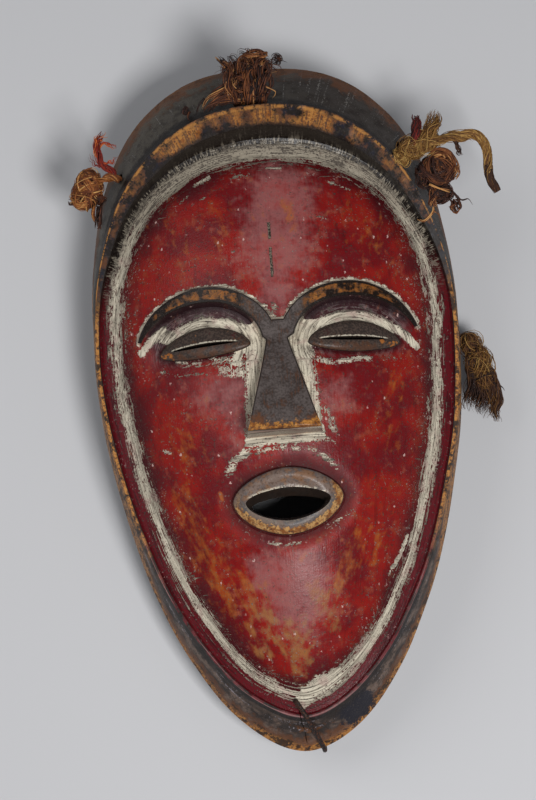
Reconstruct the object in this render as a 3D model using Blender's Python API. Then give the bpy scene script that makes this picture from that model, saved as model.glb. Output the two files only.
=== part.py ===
"""Vuvi mask: a hollow carved wooden face with a raised forehead band, a sloping cap behind it,
raffia tufts tied through holes in the cap and wall, and an iron staple over the chin.

The mask lies on its flat back rim: +Z comes out of the face, +Y runs towards the top of the
head and +X to the viewer's right. All sizes are in metres.
"""
import math
from collections import namedtuple

import bmesh
import bpy
import numpy as np
from mathutils import Matrix, Vector
from mathutils.geometry import delaunay_2d_cdt

# Plan of the mask, measured from the level where it is widest
HALF_WIDTH = 0.0985
HEAD_RISE = 0.1470
CHIN_DROP = 0.2175

# How far the forehead band and the ridge below it stand in from that outline
CAP_REACH = 0.0310
SIDE_LEDGE = 0.0020
CHIN_FLANGE = 0.0165

# Widths of the zones inside the band: top of the head, temples, chin
BAND_WIDTHS = (0.0118, 0.0018, 0.0016)
BAND_FOOT_WIDTHS = (0.0025, 0.0012, 0.0012)
STRIP_WIDTHS = (0.0035, 0.0040, 0.0040)
CHANNEL_WIDTHS = (0.0100, 0.0080, 0.0085)

# Heights above the back rim: top of the head, temples, chin
OUTLINE_HEIGHTS = (0.0620, 0.0400, 0.0270)
GROOVE_HEIGHTS = (0.0910, 0.0510, 0.0460)
BAND_HEIGHTS = (0.1000, 0.0535, 0.0490)
RECESS_HEIGHTS = (0.0835, 0.0510, 0.0470)
CHANNEL_OUTER_HEIGHTS = (0.0820, 0.0535, 0.0485)
CHANNEL_FLOOR_HEIGHTS = (0.0815, 0.0555, 0.0505)
FACE_EDGE_HEIGHTS = (0.0835, 0.0600, 0.0540)
FACE_HEIGHT = 0.0970
GROOVE_WIDTH = 0.0016

# Hollow back
WALL = 0.0110
RIM_WIDTH = 0.0090
BACK_DRAFT = 0.0025

# Carving on the face
BROW_WIDTH = 0.0074
BROW_PROUD = 0.0014
BROW_SPAN = 0.0355
BROW_RISE = 0.0284
BROW_NOTCH = 0.0005
BROW_CENTRES = {"left": (-0.0390, -0.0100), "right": (0.0400, -0.0120)}
SOCKET_DEPTH = 0.0075
NOSE_BRIDGE_HALF = 0.0055
NOSE_BASE_HALF = 0.0187
NOSE_TOP = -0.0090
NOSE_BASE = -0.0583
NOSE_PROUD = 0.0165
EYE_CENTRES = {"left": (-0.0378, -0.0092), "right": (0.0400, -0.0110)}
EYE_HALF = 0.0240
EYE_UPPER = 0.0115
EYE_LOWER = 0.0056
EYE_PROUD = 0.0048
SLIT_HALF = 0.0172
SLIT_HEIGHT = 0.0022
LIP_CENTRE = (-0.0007, -0.0908)
LIP_HALF = 0.0283
LIP_UPPER = 0.0153
LIP_LOWER = 0.0186
LIP_PROUD = 0.0058
LIP_HOLLOW = 0.0020
LIP_HOLLOW_REACH = 0.0100
MOUTH_HALF = 0.0219
MOUTH_UPPER = 0.0066
MOUTH_LOWER = 0.0104
MOUTH_TAPER = 0.0030
SCAR_WIDTH = 0.0018
SCAR_DEPTH = 0.0014
SCAR_SPANS = ((0.0538, 0.0440), (0.0400, 0.0236))

# Holes, the ties through them and the iron staple
TIE_HOLE_RADIUS = 0.0026
TIE_RADIUS = 0.0021
TIE_KNOT_RADIUS = 0.0046
CLEARANCE = 0.0004
STAPLE_RADIUS = 0.0013
STAPLE_HOLE_RADIUS = 0.0018
STAPLE_DEPTH = 0.0080
STAPLE_INSET = 0.0020
STAPLE_HEAD_X = -0.0050
STAPLE_FOOT_X = 0.0085
STAPLE_FOOT_SHARE = 0.62

# Where each tie passes through the wood: plan position on the cap, angle and height share on the wall
TIE_PLACES = {"top": (-0.0030, 0.1250), "left": (-0.0772, 0.0915), "right": (0.0735, 0.0975)}
SIDE_TIE_ANGLE = math.radians(-1.0)
SIDE_TIE_SHARE = 0.55
NECK_START = 0.0035
NECK_REACH = 0.0083
NECK_RADIUS = 0.0029

# Fibre bundles of the tufts: stations (x, y, z, radius) from the outer end of the tie's hole
TOP_BODY = ((0.000, 0.000, 0.0035, 0.0030), (0.001, 0.001, 0.0105, 0.0085), (0.001, 0.008, 0.0130, 0.0115),
            (0.002, 0.016, 0.0115, 0.0145), (0.003, 0.0215, 0.0100, 0.0135))
TOP_STRAND_ROOT = ((0.000, 0.004, 0.0110, 0.0050),)
TOP_STRAND = ((-0.013, 0.003, 0.0040, 0.0015), (-0.024, -0.001, 0.0030, 0.0015),
              (-0.035, -0.006, 0.0020, 0.0010))
LEFT_BALL = ((-0.0155, 0.0060, 0.0080, 0.0050), (-0.0175, 0.0010, 0.0070, 0.0095),
             (-0.0185, -0.0080, 0.0050, 0.0105), (-0.0165, -0.0160, 0.0030, 0.0070),
             (-0.0145, -0.0230, 0.0020, 0.0030), (-0.0135, -0.0310, 0.0020, 0.0014))
LEFT_CORD_END = ((-0.0135, -0.0020, 0.0080, 0.0050),)
RED_STRAND = ((-0.0115, 0.0020, 0.0080, 0.0020), (-0.0145, 0.0080, 0.0100, 0.0022),
              (-0.0135, 0.0140, 0.0110, 0.0020), (-0.0085, 0.0220, 0.0100, 0.0012))
RIGHT_CORD_END = ((0.0110, 0.0020, 0.0125, 0.0056), (0.0190, -0.0030, 0.0125, 0.0066))
RIGHT_BALL = ((0.0200, -0.0040, 0.0120, 0.0060), (0.0215, -0.0120, 0.0100, 0.0105),
              (0.0230, -0.0220, 0.0070, 0.0100), (0.0235, -0.0310, 0.0040, 0.0055),
              (0.0225, -0.0390, 0.0030, 0.0030))
RIGHT_STUBS = (((0.0130, 0.0000, 0.0130, 0.0040), (0.0110, 0.0100, 0.0140, 0.0030),
                (0.0085, 0.0190, 0.0140, 0.0022)),
               ((0.0150, 0.0000, 0.0130, 0.0050), (0.0160, 0.0110, 0.0150, 0.0045),
                (0.0185, 0.0210, 0.0150, 0.0034)))
SIDE_BODY = ((0.0030, 0.0000, 0.0000, 0.0028), (0.0085, -0.0020, 0.0010, 0.0060),
             (0.0120, -0.0140, 0.0010, 0.0090), (0.0130, -0.0280, 0.0000, 0.0100),
             (0.0140, -0.0400, -0.0010, 0.0080), (0.0165, -0.0520, -0.0010, 0.0035))

# The free twisted end of the upper right tie, and its route (x, y, z) from the same hole
CORD_DIAMETER = 0.0050
CORD_STEPS = (
    (0.0285, -0.0020, 0.0100),
    (0.0320, -0.0010, 0.0110),
    (0.0380, 0.0000, 0.0110),
    (0.0430, -0.0030, 0.0100),
    (0.0455, -0.0090, 0.0090),
    (0.0455, -0.0170, 0.0080),
    (0.0460, -0.0240, 0.0070),
    (0.0495, -0.0310, 0.0050),
)

# Steepness of the carved steps and fineness of the facets
STEP = 0.0010
RING_STEPS = 84
FACE_GRID = 0.0095
BACK_GRID = 0.0170

Egg = namedtuple("Egg", "half_width rise drop crown_power chin_power")
Station = namedtuple("Station", "egg heights")


def inset(egg, widths, crown_power=None, chin_power=None):
    """Return the egg curve that lies inside another by a width at its top, sides and chin."""
    return Egg(egg.half_width - widths[1], egg.rise - widths[0], egg.drop - widths[2],
               crown_power or egg.crown_power, chin_power or egg.chin_power)


def egg_radius(egg, angle):
    """Distance from the centre to an egg curve: two half superellipses that meet at the sides."""
    above = np.sin(angle) >= 0
    reach = np.where(above, egg.rise, egg.drop)
    power = np.where(above, egg.crown_power, egg.chin_power)
    across = (np.abs(np.cos(angle)) / egg.half_width) ** power
    along = (np.abs(np.sin(angle)) / reach) ** power
    return (across + along) ** (-1.0 / power)


def even_angles(egg, steps):
    """Angles whose points lie at even distances along an egg curve."""
    angle = np.linspace(0.0, 2 * math.pi, 1441)
    radius = egg_radius(egg, angle)
    points = np.column_stack([radius * np.cos(angle), radius * np.sin(angle)])
    run = np.concatenate([[0.0], np.cumsum(np.linalg.norm(np.diff(points, axis=0), axis=1))])
    return np.interp(np.arange(steps) * run[-1] / steps, run, angle)


def egg_loop(egg, angle):
    """Points of an egg curve at given angles."""
    radius = egg_radius(egg, angle)
    return np.column_stack([radius * np.cos(angle), radius * np.sin(angle)])


def around(angle, values):
    """Blend three values, for the top, the sides and the chin, round the mask."""
    end = np.where(np.sin(angle) >= 0, values[0], values[2])
    return values[1] * np.cos(angle) ** 2 + end * np.sin(angle) ** 2


OUTLINE = Egg(HALF_WIDTH, HEAD_RISE, CHIN_DROP, 2.5, 1.82)
BAND_OUTER = inset(OUTLINE, (CAP_REACH, SIDE_LEDGE, CHIN_FLANGE), 2.25, 1.78)
GROOVE = inset(BAND_OUTER, (-GROOVE_WIDTH, -SIDE_LEDGE / 2, -GROOVE_WIDTH))
BAND_INNER = inset(BAND_OUTER, BAND_WIDTHS, 2.15)
BAND_FOOT = inset(BAND_INNER, BAND_FOOT_WIDTHS, 2.25)
CHANNEL_OUTER = inset(BAND_FOOT, STRIP_WIDTHS, 2.33)
CHANNEL_FLOOR = inset(CHANNEL_OUTER, tuple(width / 2 for width in CHANNEL_WIDTHS))
FACE_EDGE = inset(CHANNEL_OUTER, CHANNEL_WIDTHS, 2.36)
FRONT = (
    Station(OUTLINE, OUTLINE_HEIGHTS),
    Station(GROOVE, GROOVE_HEIGHTS),
    Station(BAND_OUTER, BAND_HEIGHTS),
    Station(BAND_INNER, BAND_HEIGHTS),
    Station(BAND_FOOT, RECESS_HEIGHTS),
    Station(CHANNEL_OUTER, CHANNEL_OUTER_HEIGHTS),
    Station(CHANNEL_FLOOR, CHANNEL_FLOOR_HEIGHTS),
    Station(FACE_EDGE, FACE_EDGE_HEIGHTS),
)

BACK_RIM = inset(OUTLINE, (BACK_DRAFT, BACK_DRAFT, BACK_DRAFT))
HOLLOW_RIM = inset(BACK_RIM, (RIM_WIDTH, RIM_WIDTH, RIM_WIDTH))
HOLLOW_WALL = inset(OUTLINE, (WALL, RIM_WIDTH, WALL))
HOLLOW_SHOULDER = inset(BAND_OUTER, (WALL / 2, WALL, WALL))
HOLLOW_EDGE = inset(FACE_EDGE, (0.0, WALL / 2, WALL / 2))
HOLLOW = (
    Station(HOLLOW_WALL, tuple(height - WALL for height in OUTLINE_HEIGHTS)),
    Station(HOLLOW_SHOULDER, tuple(height - WALL for height in RECESS_HEIGHTS)),
    Station(HOLLOW_EDGE, tuple(height - WALL for height in FACE_EDGE_HEIGHTS)),
)
DOME_POWERS = (2.6, 2.1, 2.6)


def surface(points, stations, top):
    """Height of a dome that falls from its top to the last station, then from ring to ring."""
    angle = np.arctan2(points[:, 1], points[:, 0])
    radius = np.hypot(points[:, 0], points[:, 1])
    rings = [egg_radius(station.egg, angle) for station in stations]
    levels = [around(angle, station.heights) for station in stations]
    share = np.clip(radius / rings[-1], 0.0, 1.0)
    height = top - (top - levels[-1]) * share ** around(angle, DOME_POWERS)
    for inner in range(len(stations) - 1, 0, -1):
        outer = inner - 1
        width = np.maximum(rings[outer] - rings[inner], 1e-6)
        part = np.clip((radius - rings[inner]) / width, 0.0, 1.0)
        height = np.where(radius > rings[inner], levels[inner] + part * (levels[outer] - levels[inner]),
                          height)
    return height


def signed_distance(points, outline):
    """Distance from each point to a closed outline, positive inside."""
    start = outline
    edge = np.roll(outline, -1, axis=0) - start
    length = np.maximum((edge ** 2).sum(axis=1), 1e-18)
    best = np.full(len(points), np.inf)
    inside = np.zeros(len(points), dtype=bool)
    for corner, side, square in zip(start, edge, length):
        offset = points - corner
        along = np.clip(offset @ side / square, 0.0, 1.0)
        gap = offset - along[:, None] * side
        best = np.minimum(best, (gap ** 2).sum(axis=1))
        end = corner + side
        spans = (corner[1] > points[:, 1]) != (end[1] > points[:, 1])
        if side[1]:
            crossing = corner[0] + side[0] * (points[:, 1] - corner[1]) / side[1]
            inside ^= spans & (points[:, 0] < crossing)
    return np.where(inside, 1.0, -1.0) * np.sqrt(best)


def offset_outline(outline, distance):
    """Move an outline outwards along the normals at its corners."""
    before = outline - np.roll(outline, 1, axis=0)
    after = np.roll(outline, -1, axis=0) - outline
    before /= np.linalg.norm(before, axis=1)[:, None]
    after /= np.linalg.norm(after, axis=1)[:, None]
    tangent = before + after
    tangent /= np.maximum(np.linalg.norm(tangent, axis=1), 1e-9)[:, None]
    return outline + distance * np.column_stack([tangent[:, 1], -tangent[:, 0]])


def smooth(value):
    """Ease from 0 to 1."""
    value = np.clip(value, 0.0, 1.0)
    return value * value * (3.0 - 2.0 * value)


def brow_edge(side, edge, steps):
    """One edge of a brow arc, from the bridge of the nose to the outer tip; edge is 1 or -1."""
    centre = BROW_CENTRES[side]
    sign = -1.0 if side == "left" else 1.0
    angle = np.radians(np.linspace(2.0, 160.0, steps))
    towards_tip = smooth((angle - math.pi / 2) / (math.pi / 2))
    half = edge * BROW_WIDTH / 2 * (1.0 - 0.85 * towards_tip)
    x = centre[0] - sign * (BROW_SPAN + half) * np.cos(angle)
    y = centre[1] + (BROW_RISE + half) * np.sin(angle)
    return np.column_stack([x, y])


def above_notch(edge):
    """Leave out the inner end of a brow's upper edge, below the notch where the brows meet."""
    far_end = np.arange(len(edge)) > len(edge) // 2
    return edge[(edge[:, 1] > BROW_NOTCH) | far_end]


def nose_half(y):
    """Half the width of the nose at a level."""
    share = np.clip((NOSE_TOP - y) / (NOSE_TOP - NOSE_BASE), 0.0, 1.0)
    return NOSE_BRIDGE_HALF + (NOSE_BASE_HALF - NOSE_BRIDGE_HALF) * share ** 1.12


def brow_nose_outline(steps):
    """The one raised shape that both brows and the nose form, anticlockwise."""
    left_top = above_notch(brow_edge("left", 1.0, steps))
    right_top = above_notch(brow_edge("right", 1.0, steps))
    left_low = brow_edge("left", -1.0, steps)
    right_low = brow_edge("right", -1.0, steps)
    left_low = left_low[left_low[:, 1] > NOSE_TOP + 0.0015]
    right_low = right_low[right_low[:, 1] > NOSE_TOP + 0.0015]
    levels = np.linspace(NOSE_TOP, NOSE_BASE, max(steps // 3, 4))
    nose_right = np.column_stack([nose_half(levels), levels])
    nose_left = np.column_stack([-nose_half(levels[::-1]), levels[::-1]])
    return np.vstack([right_top, right_low[::-1], nose_right, nose_left, left_low, left_top[::-1]])[::-1]


def lens_outline(centre, half, upper, lower, steps, power=1.75):
    """A lens with pointed corners: an upper and a lower superellipse arc, anticlockwise."""
    angle = (np.arange(steps) + 0.5) * 2 * math.pi / steps
    cosine, sine = np.cos(angle), np.sin(angle)
    x = half * np.sign(cosine) * np.abs(cosine) ** (2 / power)
    y = np.where(sine > 0, upper, lower) * np.sign(sine) * np.abs(sine) ** (2 / power)
    return np.column_stack([centre[0] + x, centre[1] + y])


def lens_level(points, centre, half, upper, lower, power=1.75):
    """0 at the centre of a lens and 1 on its outline."""
    across = np.abs(points[:, 0] - centre[0]) / half
    up = points[:, 1] - centre[1]
    along = np.abs(up) / np.where(up > 0, upper, lower)
    return (across ** power + along ** power) ** (1 / power)


def socket_depth(points, side):
    """How far the eye socket under a brow lies below the face."""
    centre = BROW_CENTRES[side]
    sign = -1.0 if side == "left" else 1.0
    outward = sign * (points[:, 0] - centre[0])
    up = points[:, 1] - centre[1]
    level = smooth((up + 0.62 * BROW_RISE) / (0.95 * BROW_RISE))
    outer = 1.0 - smooth((outward / BROW_SPAN - 0.45) / 0.6)
    inner = 1.0 - smooth((-outward / BROW_SPAN - 0.85) / 0.35)
    under = (outward / BROW_SPAN) ** 2 + (up / BROW_RISE) ** 2 < 1.0
    return SOCKET_DEPTH * level * outer * inner * np.where(under | (up < 0), 1.0, 0.0)


def scar_outlines():
    """Two short upright notches in the middle of the forehead."""
    half = SCAR_WIDTH / 2
    return [np.array([(half, low), (half, high), (-half, high), (-half, low)]) for high, low in SCAR_SPANS]


def front_height(points, steps=28):
    """Height of the carved front above the back rim."""
    height = surface(points, FRONT, FACE_HEIGHT)
    brow_nose = signed_distance(points, brow_nose_outline(steps))
    sunk = height.copy()
    for side in ("left", "right"):
        sunk = sunk - socket_depth(points, side)
    lips = signed_distance(points, lens_outline(LIP_CENTRE, LIP_HALF, LIP_UPPER, LIP_LOWER, 2 * steps))
    sunk = sunk - LIP_HOLLOW * (1.0 - smooth(-lips / LIP_HOLLOW_REACH))
    for side in ("left", "right"):
        level = lens_level(points, EYE_CENTRES[side], EYE_HALF, EYE_UPPER, EYE_LOWER)
        pad = EYE_PROUD * (0.4 + 0.6 * (1.0 - np.clip(level, 0.0, 1.0) ** 2))
        sunk = sunk + pad * smooth((1.0 - level) * EYE_LOWER / STEP + 0.5)
    across = lens_level(points, LIP_CENTRE, LIP_HALF, LIP_UPPER, LIP_LOWER)
    swell = LIP_PROUD * (0.55 + 0.45 * np.sin(np.pi * np.clip((1.0 - across) / 0.5, 0.0, 1.0)))
    sunk = sunk + swell * smooth(lips / STEP + 1.0)
    for outline in scar_outlines():
        sunk = sunk - SCAR_DEPTH * smooth(signed_distance(points, outline) / (SCAR_WIDTH / 2))
    rise = np.clip((NOSE_TOP - points[:, 1]) / (NOSE_TOP - NOSE_BASE), 0.0, 1.0)
    raised = height + BROW_PROUD + NOSE_PROUD * rise
    return sunk + (raised - sunk) * smooth(brow_nose / STEP + 1.0)


def back_height(points):
    """Height of the hollow's ceiling above the back rim."""
    return surface(points, HOLLOW, FACE_HEIGHT - WALL)


def grid_points(egg, spacing, keep_from, gap):
    """Staggered points inside an egg curve that keep clear of other points."""
    rows = []
    count = int(2 * max(egg.rise, egg.drop) / (spacing * 0.87)) + 2
    for row in range(-count // 2, count // 2 + 1):
        shift = spacing / 2 if row % 2 else 0.0
        xs = np.arange(-egg.half_width, egg.half_width, spacing) + shift
        rows.append(np.column_stack([xs, np.full(len(xs), row * spacing * 0.87)]))
    points = np.vstack(rows)
    angle = np.arctan2(points[:, 1], points[:, 0])
    points = points[np.hypot(points[:, 0], points[:, 1]) < egg_radius(egg, angle) - gap]
    distance = np.min(np.linalg.norm(points[:, None, :] - keep_from[None, :, :], axis=2), axis=1)
    return points[distance > gap]


def triangulate(loops, loose, holes):
    """Triangulate closed loops and loose points; leave open the loops whose numbers are in holes."""
    coords, edges, spans = [], [], []
    for loop in loops:
        first = len(coords)
        coords.extend(loop)
        count = len(loop)
        edges.extend((first + i, first + (i + 1) % count) for i in range(count))
        spans.append(range(first, first + count))
    coords.extend(loose)
    result = delaunay_2d_cdt([Vector(point) for point in coords], edges, [], 0, 1e-9)
    points = np.array([tuple(point) for point in result[0]])
    place = {}
    for new, olds in enumerate(result[3]):
        for old in olds:
            place[old] = new
    triangles = np.array(result[2])
    middle = points[triangles].mean(axis=1)
    keep = np.ones(len(triangles), dtype=bool)
    for hole in holes:
        keep &= signed_distance(middle, np.array(loops[hole])) < 0
    return points, triangles[keep], [[place[i] for i in span] for span in spans]


def mouth_outline(taper, steps):
    """The mouth opening, narrower by the taper at its inner end."""
    return lens_outline((LIP_CENTRE[0], LIP_CENTRE[1] - 0.0012), MOUTH_HALF - taper,
                        MOUTH_UPPER - taper, MOUTH_LOWER - taper, steps)


def slit_outline(side, steps):
    """The thin slit that the wearer sees through."""
    x, y = EYE_CENTRES[side]
    return lens_outline((x, y + 0.0012), SLIT_HALF, SLIT_HEIGHT / 2, SLIT_HEIGHT / 2, steps)


def carved_mesh():
    """The whole carving as one closed mesh: front, hollow back, flat rim, mouth and eye slits."""
    brow_nose = brow_nose_outline(22)
    eyes = [lens_outline(EYE_CENTRES[side], EYE_HALF, EYE_UPPER, EYE_LOWER, 20)
            for side in ("left", "right")]
    lips = lens_outline(LIP_CENTRE, LIP_HALF, LIP_UPPER, LIP_LOWER, 32)
    lip_crest = lens_outline((LIP_CENTRE[0], LIP_CENTRE[1] - 0.0006), (LIP_HALF + MOUTH_HALF) / 2,
                             (LIP_UPPER + MOUTH_UPPER) / 2, (LIP_LOWER + MOUTH_LOWER) / 2, 32)
    open_loops = [mouth_outline(0.0, 28), slit_outline("left", 12), slit_outline("right", 12)]
    angles = even_angles(OUTLINE, RING_STEPS)
    rings = [egg_loop(station.egg, angles) for station in FRONT]
    steps = [brow_nose, offset_outline(brow_nose, STEP), lips, offset_outline(lips, STEP), lip_crest]
    for eye in eyes:
        steps += [eye, offset_outline(eye, STEP)]
    for scar in scar_outlines():
        steps.append(scar)
    loops = rings + open_loops + steps
    near = np.vstack(loops)
    loose = grid_points(FACE_EDGE, FACE_GRID, near, FACE_GRID * 0.42)
    reach = LIP_HOLLOW_REACH * 0.6
    hollow_line = lens_outline(LIP_CENTRE, LIP_HALF + reach, LIP_UPPER + reach, LIP_LOWER + reach, 24, 2.0)
    loose = np.vstack([loose, hollow_line])
    scar_lines = np.array([(0.0, level) for span in SCAR_SPANS
                           for level in np.linspace(span[0] - SCAR_WIDTH / 2, span[1] + SCAR_WIDTH / 2, 4)])
    loose = np.vstack([loose, scar_lines])
    holes = range(len(rings), len(rings) + len(open_loops))
    front, front_faces, front_loops = triangulate(loops, loose, holes)
    front_z = front_height(front)

    back_rings = [egg_loop(station.egg, angles) for station in HOLLOW]
    back_open = [mouth_outline(MOUTH_TAPER, 28), slit_outline("left", 12), slit_outline("right", 12)]
    back_near = np.vstack(back_rings + back_open)
    back_loose = grid_points(HOLLOW_EDGE, BACK_GRID, back_near, BACK_GRID * 0.42)
    back_holes = range(len(back_rings), len(back_rings) + len(back_open))
    back, back_faces, back_loops = triangulate(back_rings + back_open, back_loose, back_holes)
    back_z = back_height(back)

    mesh = bmesh.new()
    front_verts = [mesh.verts.new((x, y, z)) for (x, y), z in zip(front, front_z)]
    back_verts = [mesh.verts.new((x, y, z)) for (x, y), z in zip(back, back_z)]
    rim_outer = [mesh.verts.new((x, y, 0.0)) for x, y in egg_loop(BACK_RIM, angles)]
    rim_inner = [mesh.verts.new((x, y, 0.0)) for x, y in egg_loop(HOLLOW_RIM, angles)]
    for triangle in front_faces:
        mesh.faces.new([front_verts[i] for i in triangle])
    for triangle in back_faces:
        mesh.faces.new([back_verts[i] for i in triangle[::-1]])

    def bridge(first, second):
        count = len(first)
        for i in range(count):
            j = (i + 1) % count
            mesh.faces.new((first[i], first[j], second[j], second[i]))

    bridge(rim_outer, [front_verts[i] for i in front_loops[0]])
    bridge(rim_inner, rim_outer)
    bridge([back_verts[i] for i in back_loops[0]], rim_inner)
    for number in range(len(open_loops)):
        bridge([front_verts[i] for i in front_loops[len(rings) + number]],
               [back_verts[i] for i in back_loops[len(back_rings) + number]])
    bmesh.ops.remove_doubles(mesh, verts=mesh.verts, dist=1e-7)
    bmesh.ops.recalc_face_normals(mesh, faces=mesh.faces)
    return mesh


def new_object(name, mesh, material):
    """Turn a bmesh into an object that shades smooth except at sharp edges."""
    data = bpy.data.meshes.new(name)
    mesh.to_mesh(data)
    mesh.free()
    data.shade_smooth()
    data.set_sharp_from_angle(angle=math.radians(35))
    item = bpy.data.objects.new(name, data)
    bpy.context.collection.objects.link(item)
    item.data.materials.append(material)
    return item


def new_material(name, colour, roughness, metallic=0.0):
    """A plain principled material."""
    material = bpy.data.materials.new(name)
    material.use_nodes = True
    shader = material.node_tree.nodes["Principled BSDF"]
    shader.inputs["Base Color"].default_value = (*colour, 1.0)
    shader.inputs["Roughness"].default_value = roughness
    shader.inputs["Metallic"].default_value = metallic
    return material


def smooth_path(points, per_span):
    """A Catmull-Rom curve through points of any dimension."""
    points = [np.array(point, dtype=float) for point in points]
    padded = [2 * points[0] - points[1]] + points + [2 * points[-1] - points[-2]]
    result = []
    for i in range(1, len(padded) - 2):
        a, b, c, d = padded[i - 1:i + 3]
        for step in range(per_span):
            t = step / per_span
            result.append(0.5 * (2 * b + (c - a) * t + (2 * a - 5 * b + 4 * c - d) * t ** 2
                                 + (3 * b - a - 3 * c + d) * t ** 3))
    result.append(points[-1])
    return result


def bundle_mesh(stations, sides=9, lump=0.12, per_span=3):
    """A lumpy bundle of fibre: a closed tube through (x, y, z, radius) stations."""
    rows = smooth_path(stations, per_span)
    mesh = bmesh.new()
    rings = []
    across = None
    for i, row in enumerate(rows):
        here = Vector(row[:3])
        ahead = Vector(rows[min(i + 1, len(rows) - 1)][:3]) - Vector(rows[max(i - 1, 0)][:3])
        ahead.normalize()
        if across is None:
            across = ahead.orthogonal().normalized()
        across = (across - ahead * across.dot(ahead)).normalized()
        other = ahead.cross(across)
        ring = []
        for side in range(sides):
            angle = 2 * math.pi * side / sides
            swell = 1.0 + lump * math.sin(3 * angle + 1.7 * i) * math.cos(1.3 * i)
            reach = float(row[3]) * swell
            place = here + reach * (math.cos(angle) * across + math.sin(angle) * other)
            ring.append(mesh.verts.new(place))
        rings.append(ring)
    for first, second in zip(rings, rings[1:]):
        for side in range(sides):
            following = (side + 1) % sides
            mesh.faces.new((first[side], first[following], second[following], second[side]))
    mesh.faces.new(rings[0][::-1])
    mesh.faces.new(rings[-1])
    bmesh.ops.recalc_face_normals(mesh, faces=mesh.faces)
    return mesh


def fused(name, parts, material):
    """One solid made by joining overlapping closed meshes with Boolean unions."""
    body = new_object(name, parts[0], material)
    for number, part in enumerate(parts[1:], 1):
        cutter = new_object(f"{name}.union{number}", part, material)
        add_boolean(body, cutter, "UNION")
    return body


def add_boolean(body, tool, operation):
    """Add an exact Boolean and hide its tool."""
    tool.hide_render = True
    tool.display_type = "WIRE"
    modifier = body.modifiers.new(tool.name, "BOOLEAN")
    modifier.operation = operation
    modifier.solver = "EXACT"
    modifier.use_self = operation == "UNION"
    modifier.object = tool


def front_point(x, y, lift=0.0):
    """A point over the carved front, at a height above its surface."""
    return Vector((x, y, float(front_height(np.array([[x, y]]))[0]) + lift))


def front_normal(x, y):
    """The direction straight out of the front at a place."""
    reach = 0.002
    places = np.array([[x + reach, y], [x - reach, y], [x, y + reach], [x, y - reach]])
    east, west, north, south = front_height(places)
    return Vector((west - east, south - north, 2 * reach)).normalized()


def wall_depth(start, inwards):
    """Length of wood that a line crosses from a place on the front into the hollow."""
    depth = 0.003
    while depth < 0.08:
        place = start + inwards * depth
        if place.z < float(back_height(np.array([[place.x, place.y]]))[0]):
            return depth
        depth += 0.0005
    return depth


def cylinder_mesh(start, end, radius, sides=14):
    """A closed cylinder between two points."""
    mesh = bmesh.new()
    line = end - start
    turn = line.to_track_quat("Z", "Y").to_matrix().to_4x4()
    place = Matrix.Translation((start + end) / 2) @ turn
    bmesh.ops.create_cone(mesh, cap_ends=True, segments=sides, radius1=radius, radius2=radius,
                          depth=line.length, matrix=place)
    return mesh


def tie_line(name):
    """Outer end, inward direction and depth of wood of a tie hole."""
    if name == "side":
        radius = float(egg_radius(OUTLINE, SIDE_TIE_ANGLE))
        height = SIDE_TIE_SHARE * float(around(SIDE_TIE_ANGLE, OUTLINE_HEIGHTS))
        start = Vector((radius * math.cos(SIDE_TIE_ANGLE), radius * math.sin(SIDE_TIE_ANGLE), height))
        start.x -= BACK_DRAFT * (1.0 - SIDE_TIE_SHARE)
        return start, Vector((-1.0, 0.0, 0.0)), RIM_WIDTH + BACK_DRAFT
    start = front_point(*TIE_PLACES[name])
    inwards = -front_normal(*TIE_PLACES[name])
    return start, inwards, wall_depth(start, inwards)


def tie_meshes(name):
    """The end of a tie inside the wall: a stem through the hole and the knot that holds it."""
    start, inwards, depth = tie_line(name)
    knot = start + inwards * (depth + TIE_KNOT_RADIUS + CLEARANCE + 0.0025)
    stem = cylinder_mesh(start - inwards * 0.004, knot, TIE_RADIUS, 10)
    ball = bmesh.new()
    bmesh.ops.create_icosphere(ball, subdivisions=2, radius=TIE_KNOT_RADIUS, matrix=Matrix.Translation(knot))
    return [stem, ball]


def staple_route():
    """Corners of the bent wire: in the face, down the flange, round the chin edge, in the wall."""
    gap = STAPLE_RADIUS + CLEARANCE
    head_y = STAPLE_INSET - float(egg_radius(CHANNEL_OUTER, -math.pi / 2))
    foot_y = -math.sqrt(float(egg_radius(OUTLINE, math.atan2(-CHIN_DROP, STAPLE_FOOT_X))) ** 2
                        - STAPLE_FOOT_X ** 2)
    upper = front_point(STAPLE_HEAD_X, head_y)
    ridge_y = -float(egg_radius(BAND_OUTER, -math.pi / 2))
    share = (ridge_y - head_y) / (foot_y - head_y)
    ridge_x = STAPLE_HEAD_X + share * (STAPLE_FOOT_X - STAPLE_HEAD_X)
    edge_z = OUTLINE_HEIGHTS[2]
    low = Vector((STAPLE_FOOT_X, foot_y - gap, edge_z * STAPLE_FOOT_SHARE))
    return [
        upper - Vector((0, 0, STAPLE_DEPTH)),
        upper + Vector((0, 0, gap * 1.35)),
        front_point(ridge_x, ridge_y, gap * 1.6),
        Vector((STAPLE_FOOT_X, foot_y - gap, edge_z + gap * 1.2)),
        low,
        low + Vector((0, STAPLE_DEPTH, 0)),
    ]


def wire_object(name, route, radius, material, resolution=2, smooth_steps=0):
    """A round wire or cord along a route, as a curve with filled ends."""
    points = [Vector(place[:3]) for place in smooth_path(route, smooth_steps)] if smooth_steps else route
    curve = bpy.data.curves.new(name, "CURVE")
    curve.dimensions = "3D"
    curve.bevel_depth = radius
    curve.bevel_resolution = resolution
    curve.use_fill_caps = True
    spline = curve.splines.new("POLY")
    spline.points.add(len(points) - 1)
    for point, place in zip(spline.points, points):
        point.co = (*place, 1.0)
    item = bpy.data.objects.new(name, curve)
    bpy.context.collection.objects.link(item)
    curve.materials.append(material)
    return item


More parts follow.
